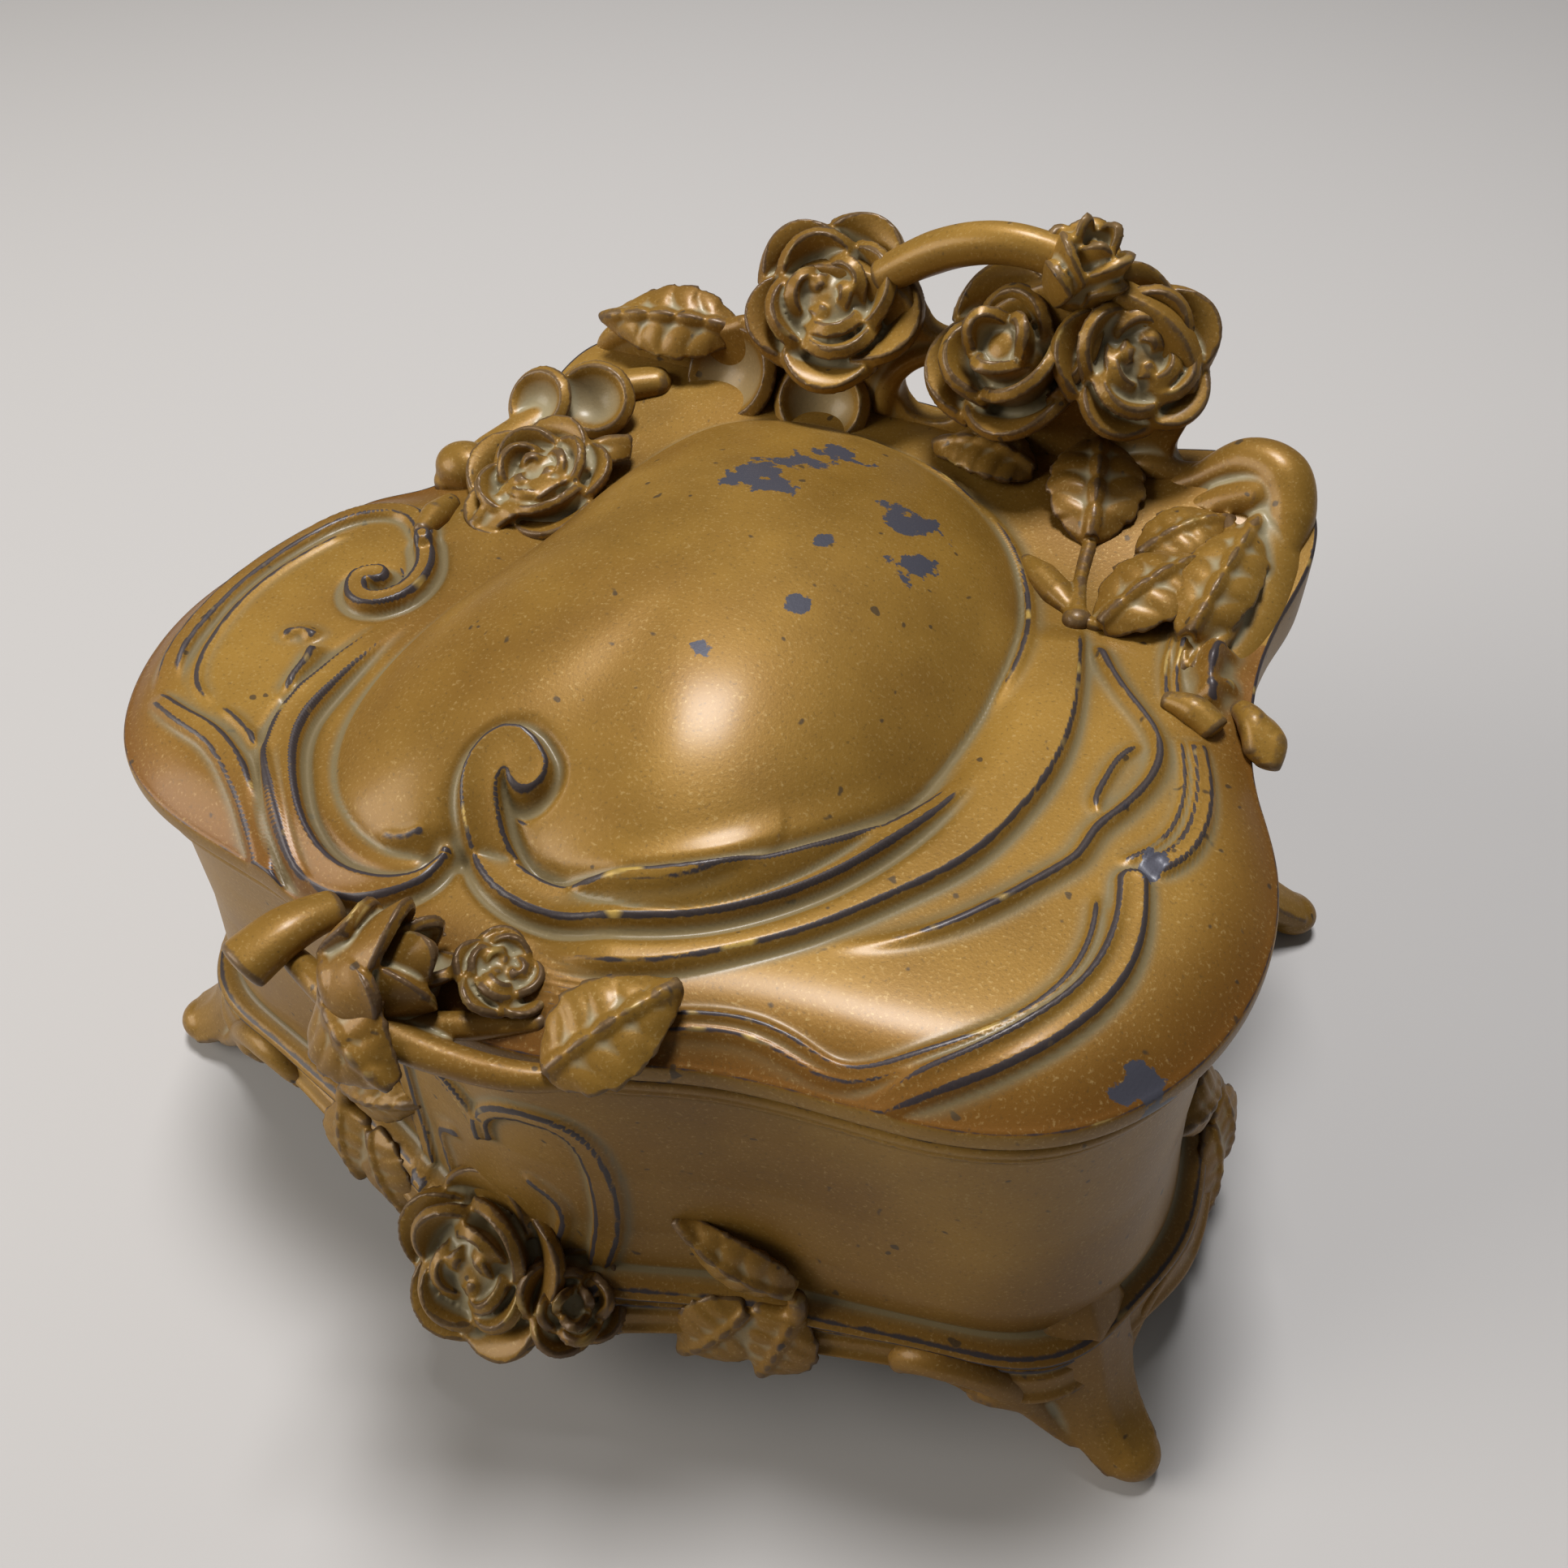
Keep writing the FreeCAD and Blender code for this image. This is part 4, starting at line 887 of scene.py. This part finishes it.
def wall_shaped(verts):
    """Wall points with the tucked corners, the arched foot and the lines in relief on the front."""
    x = verts[:, 0]
    y = verts[:, 1]
    z = verts[:, 2]
    across = np.sqrt(np.clip(1 - ((np.abs(x) - 30.8) / 18.8) ** 2, 0, 1)) * (np.abs(y) > 34)
    along = np.sqrt(np.clip(1 - (y / 23.1) ** 2, 0, 1)) * (np.abs(x) > 50)
    lifted = z + 2.6 * np.maximum(across, along) * np.clip((20.0 - z) / 7.0, 0, 1)
    front = ease((-y - 30.0) / 12.0)
    tuck = corner_tuck(verts)
    relief = np.zeros(len(verts))
    for way in (1, -1):
        q = np.column_stack([way * (x + 4.0) - 4.0, z])
        relief += band(q, ((-3.4, 39.6), (-2.9, 43.4), (1.6, 47.9), (7.0, 47.6), (9.6, 40.7), (9.9, 30.0),
                           (7.6, 16.8)), 0.9, (0.9, 1.1, 1.3, 1.5, 1.5, 1.0), (0.0, 0.1), 0.9)
        relief += ridge(q, ((0.2, 34.4), (4.1, 31.5), (4.4, 26.0), (2.9, 21.1)), 0.6, 0.8, 0.8)
    return np.column_stack([x + tuck[:, 0], y + tuck[:, 1] - front * relief, lifted])


def make_box():
    """Box casting with bead, apron and relief, open at the top."""
    cols = 900
    heights = np.concatenate([
        np.linspace(WALL_FOOT, 22.0, 36), np.linspace(22.4, 55.0, 62), np.linspace(55.3, WALL_TOP, 26),
    ])
    outer = []
    for h in heights:
        inset, flare = wall_inset(h)
        bead = 1.3 * max(0.0, 1 - ((h - (WALL_TOP - 2.6)) / 1.3) ** 2) ** 0.5
        bead += 0.35 * math.exp(-((h - (WALL_TOP - 5.4)) / 0.5) ** 2)
        loop = outline(inset - bead - apron(h), flare, cols)
        outer.append(np.column_stack([loop, np.full(cols, h)]))
    inner = []
    for h in np.linspace(WALL_TOP, 18.0, 26):
        inset, flare = wall_inset(h)
        loop = outline(inset + WALL_THICK, flare, cols)
        inner.append(np.column_stack([loop, np.full(cols, h)]))
    outer = wall_shaped(np.vstack(outer))
    inner = np.vstack(inner)
    inner[:, :2] += corner_tuck(inner)
    foot = outer[:cols] * (0.985, 0.985, 1.0)
    verts = np.vstack([outer, inner, foot])
    rows = len(verts) // cols
    faces = ring_faces(rows, cols)
    last = (rows - 1) * cols
    for j in range(cols):
        k = (j + 1) % cols
        faces.append([last + j, last + k, k, j])
    ob = build("box_casting", shift(verts), faces)
    mark_wear(ob)
    finish_piece(ob, "box", "gilt_casting", GILT, "body_shell")


make_box()


# Lining, and the metal pieces shown as they are built
def lining_panel(word, low, high):
    """Padded wall panel between two headings, with upright gathers."""
    cols = 720
    inset, flare = wall_inset(LINING_FOOT)
    ring = outline(inset + LINING_INSET, flare, cols)
    heading = np.degrees(np.arctan2(ring[:, 1], ring[:, 0])) % 360
    first = np.argmin(np.abs((heading - low + 180) % 360 - 180))
    last = np.argmin(np.abs((heading - high + 180) % 360 - 180))
    pick = np.arange(first + 1, last if last > first else last + cols) % cols
    gather = 0.18 * np.sin(np.arange(len(pick)) * 0.9)
    heights = np.linspace(LINING_FOOT, LINING_TOP, 30)
    points = np.zeros((len(heights), len(pick), 3))
    for i, h in enumerate(heights):
        inset, flare = wall_inset(h)
        fade = math.sin(math.pi * ((h - LINING_FOOT) / (LINING_TOP - LINING_FOOT))) ** 0.5
        near = outline(inset + 3.0, flare, cols)[pick]
        far = outline(inset + 4.0, flare, cols)[pick]
        points[i, :, :2] = near + (far - near) * (LINING_INSET + gather * fade - 3.0)[:, None]
        points[i, :, 2] = h
    points[:, :, :2] += corner_tuck(points.reshape(-1, 3)).reshape(len(heights), -1, 2)
    points[:, :, 1] += SHIFT
    ob = build("lining_" + word + "_satin", *sheet(points, 1.0))
    finish_piece(ob, "box", "lining_satin", SATIN, "lining_" + word)


def cushion(name, loop, low, high, body, node):
    """Padded panel over a plan loop with a crown toward high and gathers round its edge."""
    cols = len(loop)
    s = np.linspace(0.02, 1.0, 46)
    turn = np.arange(cols) * 2 * math.pi / cols
    middle = loop.mean(0)
    rows = []
    for k in s:
        crown = (1 - k ** 7) ** 0.5
        gather = 0.30 * np.cos(turn * 64) * math.exp(-((k - 0.90) / 0.10) ** 2)
        rise = crown * (0.86 + 0.14 * math.cos(k * math.pi / 2))
        z = low + (high - low) * rise + np.sign(high - low) * gather * crown
        rows.append(np.column_stack([middle + k * (loop - middle), z]))
    rows.append(np.column_stack([middle + s[0] * (loop - middle), np.full(cols, low)]))
    faces = capped_faces(len(rows), cols)
    if high > low:
        faces = [f[::-1] for f in faces]
    ob = build(name, shift(np.vstack(rows)), faces)
    finish_piece(ob, body, "lining_satin", SATIN, node)


diagonal = math.degrees(math.atan2(FOOT[1], FOOT[0]))
for word, low, high in (("front", 180 + diagonal, 360 - diagonal), ("right", 360 - diagonal, diagonal),
                        ("back", diagonal, 180 - diagonal), ("left", 180 - diagonal, 180 + diagonal)):
    lining_panel(word, low, high)
floor_inset, floor_flare = wall_inset(FLOOR_HEIGHT)
floor_loop = outline(floor_inset + 4.8, floor_flare, 400)
floor_loop = floor_loop + corner_tuck(np.column_stack([floor_loop, np.full(400, FLOOR_HEIGHT)]))
cushion("floor_cushion", floor_loop, 17.95, 21.7, "box", "lining_floor")
cushion("lid_cushion", outline(2.2, 0, 400) * 0.845, 63.6, 60.7, "lid", "lid_lining")
for word, material in (("hinge_box_leaf", BRASS), ("hinge_lid_leaf", BRASS), ("hinge_pin", BRASS),
                       ("hinge_box_rivets", BRASS), ("hinge_lid_rivets", BRASS), ("bottom_plate", PLATE)):
    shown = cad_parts[word]
    shown.data.materials.clear()
    shown.data.materials.append(material)

# Places for the ornament, in plan from the middle of the feet
LID_LOOP = outline(0, 0, 400, True)


def at(x, y, z):
    """A place in the part's frame."""
    return np.array((x, y + SHIFT, z))


def top(x, y, lift=0.0):
    """A place on the lid's upper face, raised by lift."""
    inside = np.hypot(LID_LOOP[:, 0] - x, LID_LOOP[:, 1] - y).min()
    z = lid_height(np.array([(x, y)], float), np.array([inside]))[0]
    return at(x, y, z + lift)


def path(*points):
    """Places in the part's frame for a bar."""
    return [at(*p) for p in points]


def leaf_on(base, tip, width, lean, bend=0.16):
    """Leaf from one place to another, facing lean."""
    along = np.array(tip) - np.array(base)
    return placed(leaf(np.linalg.norm(along), width, bend), base, lean, along)


def rose_on(place, facing, radius, rings, turn, thick, along=(1, 0, 0)):
    """Rose at a place, facing a way."""
    return placed(bloom(radius, rings, turn, thick), at(*place), facing, along)


def cast(name, body, node, voxel, parts, smooth=2):
    """A cast ornament in the gilt finish, standing for one node."""
    ob = fused(name, parts, voxel, smooth)
    mark_wear(ob)
    finish_piece(ob, body, "gilt_casting", GILT_ROSES, node)


# Crest
CREST_FRONT = 40.6
CREST_BACK = 44.0
CREST_EDGE = (
    (-44.5, 66), (-44, 70), (-41.5, 72.8), (-36, 75.5), (-28, 76.5), (-21, 79), (-17, 86), (-10, 90.5),
    (-3, 90.5), (2.5, 88.0), (5, 84.8), (9, 85.5), (12, 89), (17, 93), (22, 95), (28, 94.5), (34, 92),
    (37.5, 87), (37.5, 80), (37, 74.5), (40, 73.8), (44, 76.5), (47.5, 78), (50.5, 76.5), (51.5, 72),
    (51.8, 66),
)
CREST_HOLE = ((1.0, 76.6), (4.6, 80.2), (8.2, 80.6), (9.2, 74.4), (6.6, 72.8), (3.2, 73.0))
edge = [tuple(p) for p in spline(CREST_EDGE, 200)[::-1]]
hole = [tuple(p) for p in spline(CREST_HOLE, 60, True)]
crest = [slab(edge, [hole], CREST_FRONT + SHIFT, CREST_BACK + SHIFT)]
crest.append(sweep(path((-43.5, 42, 68), (-43, 42, 71.6), (-40.5, 42, 74), (-35, 42, 76), (-27, 42, 77),
                        (-20, 42, 80)), (1.6, 1.8, 1.7, 1.4)))
crest.append(sweep(path((-1, 41, 72), (0.2, 41, 77), (4.0, 41, 81.2), (9.5, 41, 83.0)), (1.5, 1.3, 1.4)))
crest.append(sweep(path((30, 41, 72), (35, 40.5, 74), (38, 41, 73.5), (43, 41, 76)), (1.6, 1.7, 1.4)))
cast("crest_plate", "lid", "crest_panel", 0.34, crest, 6)
cast("rose_left", "lid", "crest_rose_left", 0.27,
     rose_on((-8.7, 43.0, 83.0), (0.16, -0.68, 0.72), 10.4, OPEN_ROSE, 0.4, 1.7))
cast("rose_right", "lid", "crest_rose_right", 0.27,
     rose_on((28.8, 43.0, 84.6), (0.40, -0.64, 0.66), 9.2, OPEN_ROSE, 1.3, 1.6))
cast("rose_middle", "lid", "crest_rose_middle", 0.30,
     rose_on((17.2, 43.4, 80.6), (-0.20, -0.68, 0.70), 9.8, SWEPT_ROSE, 0.2, 1.6))
arch = path((-3, 42.4, 89), (3, 42.4, 93.2), (9.2, 42.4, 96.0), (15, 42.4, 96.8), (21, 42.4, 96))
cast("arched_stem", "lid", "crest_stem", 0.34, [sweep(arch, (2.2, 2.5, 2.4, 2.2))], 3)
cast("top_bud", "lid", "crest_bud", 0.27,
     rose_on((21.0, 43.0, 92.4), (0.34, -0.16, 0.92), 5.0, CLOSED_BUD, 0.7, 1.1))
cast("round_petal_left", "lid", "crest_petal_left", 0.30,
     placed(bowl(6.8, 3.2, 1.9), at(-21.0, 40.4, 72.2), (-0.30, -0.72, 0.62), (1, 0, 0.2)), 3)
cast("round_petal_right", "lid", "crest_petal_right", 0.30,
     placed(bowl(5.8, 2.8, 1.9), at(-8.4, 39.4, 71.6), (0.10, -0.70, 0.70), (1, 0, -0.2)), 3)
cast("leaf_left_end", "lid", "crest_leaf_top", 0.27,
     leaf_on(at(-22.5, 42.6, 77.8), at(-42.4, 42.0, 74.4), 10.0, (0.0, -0.62, 0.78), 0.10))
cast("leaf_inner", "lid", "crest_leaf_inner", 0.25,
     leaf_on(top(21.4, 36.4, 0.2), top(7.9, 36.6, 0.4), 8.6, (0, -0.2, 1)))
middle_leaf = leaf_on(top(31.4, 27.6, 0.3), top(26.6, 45.4, 0.9), 11.4, (0.05, -0.2, 1), 0.12)
middle_leaf += [
    sweep([top(31.4, 27.8, 0.2), top(32.2, 22.0, 0.3), top(33.8, 16.0, 0.4)], (0.9, 0.8, 1.1)),
    ball(top(33.9, 15.6, 0.2), 1.7, (1, 1, 0.8)),
    sweep([top(24.6, 23.6, -0.4), top(28.6, 20.6, 0.0), top(33.6, 16.4, 0.2)], (0.8, 2.0, 2.0, 0.9), 0.8),
]
cast("leaf_middle", "lid", "crest_leaf_middle", 0.25, middle_leaf)
cast("leaf_outer", "lid", "crest_leaf_outer", 0.25,
     leaf_on(top(37.4, 27.2, 0.2), top(46.2, 35.2, 0.3), 7.4, (0, -0.2, 1)))
low_leaf = leaf_on(top(36.6, 15.0, 0.2), top(46.4, 29.2, 0.3), 9.6, (0.0, -0.15, 1))
low_leaf.append(sweep([top(33.9, 15.6, 0.2), top(37.0, 15.4, 0.2)], (0.8, 0.8), count=20))
cast("leaf_low", "lid", "crest_leaf_low", 0.25, low_leaf)
scroll = [
    sweep(path((36.5, 39.6, 71.5), (41, 40.4, 74.2), (45.5, 41, 77.0), (49.2, 39.8, 77.0), (51.6, 36.6, 74.2),
               (52.4, 32.0, 71.2)), (1.5, 2.0, 3.0, 3.4, 3.0, 1.6)),
    sweep(path((45.0, 38.6, 73.6), (49.6, 36.8, 74.2), (51.6, 32.4, 72.2), (52.2, 26.4, 69.8),
               (51.8, 19.5, 68.0), (51.0, 13.0, 66.8)), (1.4, 2.8, 3.2, 2.8, 2.2, 1.2), 0.5,
          (0.3, -0.2, 0.9)),
]
for inset in (2.6, 5.0, 7.2):
    fold = [top(50.6 - 0.5 * inset, 12.0, -0.2), top(52.6 - inset, 20.0, 0.1), top(52.4 - inset, 28.0, 0.2),
            top(50.0 - inset, 35.0, 0.2)]
    scroll.append(sweep(fold, (0.5, 1.0, 1.1, 0.6)))
scroll.append(sweep(path((40, 36.5, 71.6), (45, 37.4, 74.0), (48.6, 37.6, 75.2), (50.8, 35.5, 73.4)),
                    (1.1, 2.1, 2.6, 1.4)))
scroll += leaf_on(top(46.2, 15.0, 0.2), top(48.8, 36.0, 0.9), 8.4, (0.12, -0.12, 1), 0.10)
cast("scroll_nose", "lid", "crest_scroll", 0.30, scroll, 3)

# Rose and stem at the lid's left, tab at its right
side_rose = rose_on((-34.4, 12.6, 66.4), (-0.06, -0.34, 0.94), 9.2, OPEN_ROSE, 2.2, 1.2)
side_rose += leaf_on(at(-38.5, 2.0, 67.4), at(-27.2, 22.6, 70.4), 9.0, (-0.45, 0.1, 0.9), 0.08)
cast("rose_side", "lid", "dome_rose", 0.27, side_rose)
bank_line = [top(-30, 37, 0.2), top(-37.5, 32, 0.3), top(-43, 25.5, 0.2), top(-46.0, 17.0, 0.2),
             top(-49.5, 8.5, 0.2)]
bank = [sweep(bank_line, (2.4, 3.0, 2.6, 2.8, 1.8), 0.8)]
bank += placed(bowl(4.6, 2.4, 1.7), top(-42.6, 25.4, 1.6), (-0.2, -0.6, 0.8), (1, 0, 0))
bank += placed(bowl(5.0, 2.4, 1.7), top(-36.4, 28.4, 1.2), (0.1, -0.6, 0.8), (1, 0, 0))
bank.append(ball(top(-46.6, 12.0, 1.0), 3.6, (1.2, 1, 0.9)))
bank.append(sweep([top(-44.5, 6.0, 0.0), top(-44.0, 1.5, 0.3), top(-43.0, -3.0, 0.0)], (1.2, 1.9, 1.0)))
cast("stem_left", "lid", "dome_stem", 0.30, bank, 3)
tab = [sweep([top(46.0, 6.8, 0.2), top(49.5, 6.4, 0.6), top(52.6, 5.2, 0.4)], (0.9, 1.8, 1.7))]
for k in range(3):
    tab.append(sweep(path((53.4 + 1.5 * k, 10.6 - 0.6 * k, 67.0),
                          (55.6 + 1.2 * k, 8.2 - 0.6 * k, 67.6 - 0.5 * k),
                          (57.0 + 0.7 * k, 5.4 - 0.3 * k, 65.8 - 0.4 * k)), (1.1, 1.7, 1.3)))
cast("tab_right", "lid", "waist_tab", 0.28, tab, 3)

# Thumb piece
cast("thumb_branch", "lid", "thumb_stem", 0.28, [
    sweep(path((-19, -57.8, 65.2), (-12, -60.0, 65.4), (-4, -61.4, 65.4), (3.5, -60.8, 65.0),
               (10.5, -58.8, 64.8), (15, -56.0, 64.8)), (1.2, 1.6, 1.9, 1.6, 1.4, 1.0)),
    sweep(path((-6, -60.5, 65.6), (1.0, -57.6, 65.2), (8.0, -54.0, 65.6)), (1.0, 1.4, 0.9)),
], 3)
thumb = rose_on((-10.4, -59.4, 66.2), (0.74, 0.52, 0.42), 6.0, CLOSED_BUD, 0.5, 1.2, (0, 0, 1))
thumb += rose_on((1.6, -52.8, 66.2), (0.40, 0.05, 0.9), 4.4, OPEN_ROSE, 0.1, 0.8)
cast("thumb_rosebud", "lid", "thumb_bud", 0.22, thumb)
cast("thumb_leaf_a", "lid", "thumb_leaf_right", 0.22,
     leaf_on(at(10.6, -58.8, 65.6), at(18.2, -47.2, 68.0), 9.6, (0.1, -0.42, 0.9), 0.10))
cast("thumb_leaf_b", "lid", "thumb_leaf_left", 0.22,
     leaf_on(at(-11.6, -60.0, 67.2), at(-1.2, -64.4, 63.6), 9.8, (-0.15, -0.75, 0.65), 0.14))
cut_line = path((-16.6, -52.0, 66.8), (-18.6, -56.6, 67.6), (-20.6, -62.2, 66.6))
cast("cut_stem", "lid", "thumb_end", 0.30, [sweep(cut_line, (2.0, 2.7, 3.1), 0.72)], 3)

# Roses and sprays on the apron
cast("apron_flower", "box", "apron_rose", 0.28,
     rose_on((-4.4, -57.4, 15.2), (-0.05, -0.76, 0.65), 10.4, OPEN_ROSE, 0.9, 1.6))
cast("apron_half_rose", "box", "apron_bud", 0.26,
     rose_on((4.6, -57.6, 13.4), (0.42, -0.42, 0.80), 5.8, HALF_ROSE, 0.6, 1.1))
SPRAY_WIDTHS = (6.8, 9.4, 8.8)


def spray(places, normal):
    """Three leaves on the wall, each from a base to a tip, with the stalk that joins them."""
    parts = []
    for (base, tip), width in zip(places, SPRAY_WIDTHS):
        parts += leaf_on(at(*base), at(*tip), width, normal, 0.10)
    parts.append(sweep([at(*places[0][0]), at(*places[2][0]), at(*places[1][0])], (1.0, 1.3, 0.9), count=24))
    return parts


for side, word in ((-1, "left"), (1, "right")):
    front = (((side * 30.0, -50.6, 24.0), (side * 16.6, -52.8, 31.0)),
             ((side * 25.6, -52.8, 20.0), (side * 18.6, -57.4, 11.0)),
             ((side * 30.6, -51.6, 20.5), (side * 27.7, -54.6, 10.2)))
    beside = (((side * 63.2, -5.0, 24.0), (side * 63.8, -18.0, 30.0)),
              ((side * 64.8, -9.0, 20.0), (side * 67.8, -16.0, 11.5)),
              ((side * 64.6, -4.5, 20.5), (side * 67.4, -7.0, 10.8)))
    cast("spray_front_" + word, "box", "apron_spray_front_" + word, 0.26,
         spray(front, (side * 0.18, -1, 0.30)))
    cast("spray_side_" + word, "box", "apron_spray_side_" + word, 0.26,
         spray(beside, (side, -0.05, 0.30)))


# Legs
def leg_section(a):
    """Section of a leg: a middle rib and a raised edge on each side."""
    rib = 0.10 * np.exp(-((np.abs(a - math.pi / 2)) / 0.16) ** 2)
    rim = 0.12 * np.exp(-(np.minimum(np.abs(a - 0.35), np.abs(a - math.pi + 0.35)) / 0.2) ** 2)
    return 1 + rib + rim


# Middle line of a leg with its half widths, its toe, how far a rear one leans, volutes with half widths
LEG_LINE = ((56.0, 36.2, 26.0), (57.8, 37.4, 20.0), (60.0, 38.8, 12.5), (64.0, 41.2, 6.0), (69.0, 43.4, 2.6))
LEG_WIDTHS = (3.2, 5.6, 5.6, 4.6, 3.5)
TOE = (67.6, 42.6, 3.0)
REAR_LEAN = 6.5
VOLUTES = (
    (((43.3, 48.4, 12.4), (41.8, 48.8, 14.4), (43.4, 48.8, 17.0), (47.4, 48.0, 17.6), (52.0, 46.8, 15.6),
      (55.4, 45.8, 11.8), (58.8, 45.2, 7.4), (62.9, 45.0, 3.8)), (1.1, 1.9, 2.1, 2.0, 1.8, 1.5, 1.2, 0.8)),
    (((50.4, 46.8, 10.4), (51.4, 47.0, 12.8), (54.2, 46.2, 12.0), (56.4, 45.2, 8.8)), (1.3, 2.0, 1.6, 0.9)),
    (((66.0, 21.5, 11.2), (66.3, 20.5, 13.2), (66.0, 22.0, 15.8), (65.0, 26.0, 16.3), (64.0, 30.5, 14.5),
      (63.6, 34.0, 11.0), (64.8, 37.8, 7.0), (67.0, 41.0, 3.6)), (0.9, 1.5, 1.6, 1.5, 1.4, 1.2, 1.0, 0.8)),
)
REAR_VOLUTES = (
    (((43.6, 43.6, 14.4), (42.2, 44.0, 16.2), (43.8, 44.4, 18.4), (47.6, 43.8, 18.6), (52.0, 42.6, 16.5),
      (56.0, 42.2, 12.5), (60.0, 42.4, 8.0), (64.0, 43.2, 4.4)), (0.9, 1.5, 1.7, 1.7, 1.6, 1.4, 1.2, 0.9)),
)


def on_leg(points, side, end, lean):
    """Places on the leg at one corner, drawn in toward the box by lean at its upper end."""
    return [at(side * (x - lean * ease((z - 4.0) / 16.0)), end * y, z) for x, y, z in points]


def leg(side, end, lean, volutes):
    """Leg at one corner with its toe and its volutes."""
    out = (side * 0.8, end * 0.6, 0.35)
    parts = [sweep(on_leg(LEG_LINE, side, end, lean), LEG_WIDTHS, 0.66, out, 70, 40, leg_section)]
    parts.append(ball(on_leg([TOE], side, end, lean)[0], 3.6, (1.1, 1.0, 0.8)))
    for points, widths in volutes:
        parts.append(sweep(on_leg(points, side, end, lean), widths, count=50))
    return parts


for side, side_word in ((-1, "left"), (1, "right")):
    for end, end_word, lean, volutes in ((-1, "front", 0.0, VOLUTES), (1, "rear", REAR_LEAN, REAR_VOLUTES)):
        word = end_word + "_" + side_word
        cast("leg_" + word + "_cast", "box", "leg_" + word, 0.34, leg(side, end, lean, volutes), 3)

# Floor, lights and camera
world = bpy.data.worlds.new("studio")
bpy.context.scene.world = world
world.use_nodes = True
join(world.node_tree, world.node_tree.nodes["Background"], {"Color": (0.88, 0.86, 0.84, 1), "Strength": 0.13})

HALF_FLOOR = 3
floor_corners = [(x * HALF_FLOOR, y * HALF_FLOOR, 0) for x, y in ((-1, -1), (1, -1), (1, 1), (-1, 1))]
floor_mesh = bpy.data.meshes.new("floor")
floor_mesh.from_pydata(floor_corners, [], [(0, 1, 2, 3)])
floor = bpy.data.objects.new("floor", floor_mesh)
bpy.context.scene.collection.objects.link(floor)
floor_look = {"Base Color": (0.45, 0.435, 0.42, 1), "Roughness": 0.75}
floor_mesh.materials.append(surface(new_finish("floor_pale"), floor_look))


def lamp(name, place, aim, size, power, tint):
    """Soft square lamp."""
    light = bpy.data.lights.new(name, "AREA")
    light.size = size
    light.energy = power
    light.color = tint
    ob = bpy.data.objects.new(name, light)
    ob.location = place
    ob.rotation_euler = (Vector(aim) - Vector(place)).to_track_quat("-Z", "Y").to_euler()
    bpy.context.scene.collection.objects.link(ob)


lamp("key", place=(-0.07, 0.17, 0.86), aim=(0, 0, 0.06), size=0.20, power=7.8, tint=(0.98, 0.98, 1.0))
lamp("fill", place=(-0.80, -0.55, 0.50), aim=(0, 0, 0.05), size=0.6, power=8.5, tint=(1.0, 0.96, 0.9))

# Camera: its turns, its lens as a share of the picture's width, and its place in metres
YAW = math.radians(27.15)
PITCH = math.radians(46.34)
ROLL = math.radians(-1.47)
FOCAL_SHARE = 1719.63 / 1932
SENSOR = 36.0
EYE = (0.05951, -0.10759, 0.17011)
view = Vector((-math.sin(YAW) * math.cos(PITCH), math.cos(YAW) * math.cos(PITCH), -math.sin(PITCH)))
flat_right = Vector((math.cos(YAW), math.sin(YAW), 0))
flat_up = flat_right.cross(view)
right = flat_right * math.cos(ROLL) + flat_up * math.sin(ROLL)
up = flat_up * math.cos(ROLL) - flat_right * math.sin(ROLL)
camera_data = bpy.data.cameras.new("camera")
camera_data.sensor_width = SENSOR
camera_data.lens = SENSOR * FOCAL_SHARE
camera_data.clip_start = 0.01
camera = bpy.data.objects.new("camera", camera_data)
turn = Matrix((right, up, -view)).transposed().to_4x4()
camera.matrix_world = Matrix.Translation((EYE[0], EYE[1] + SHIFT * MM, EYE[2])) @ turn
bpy.context.scene.collection.objects.link(camera)
bpy.context.scene.camera = camera
bpy.context.scene.view_settings.view_transform = "Standard"
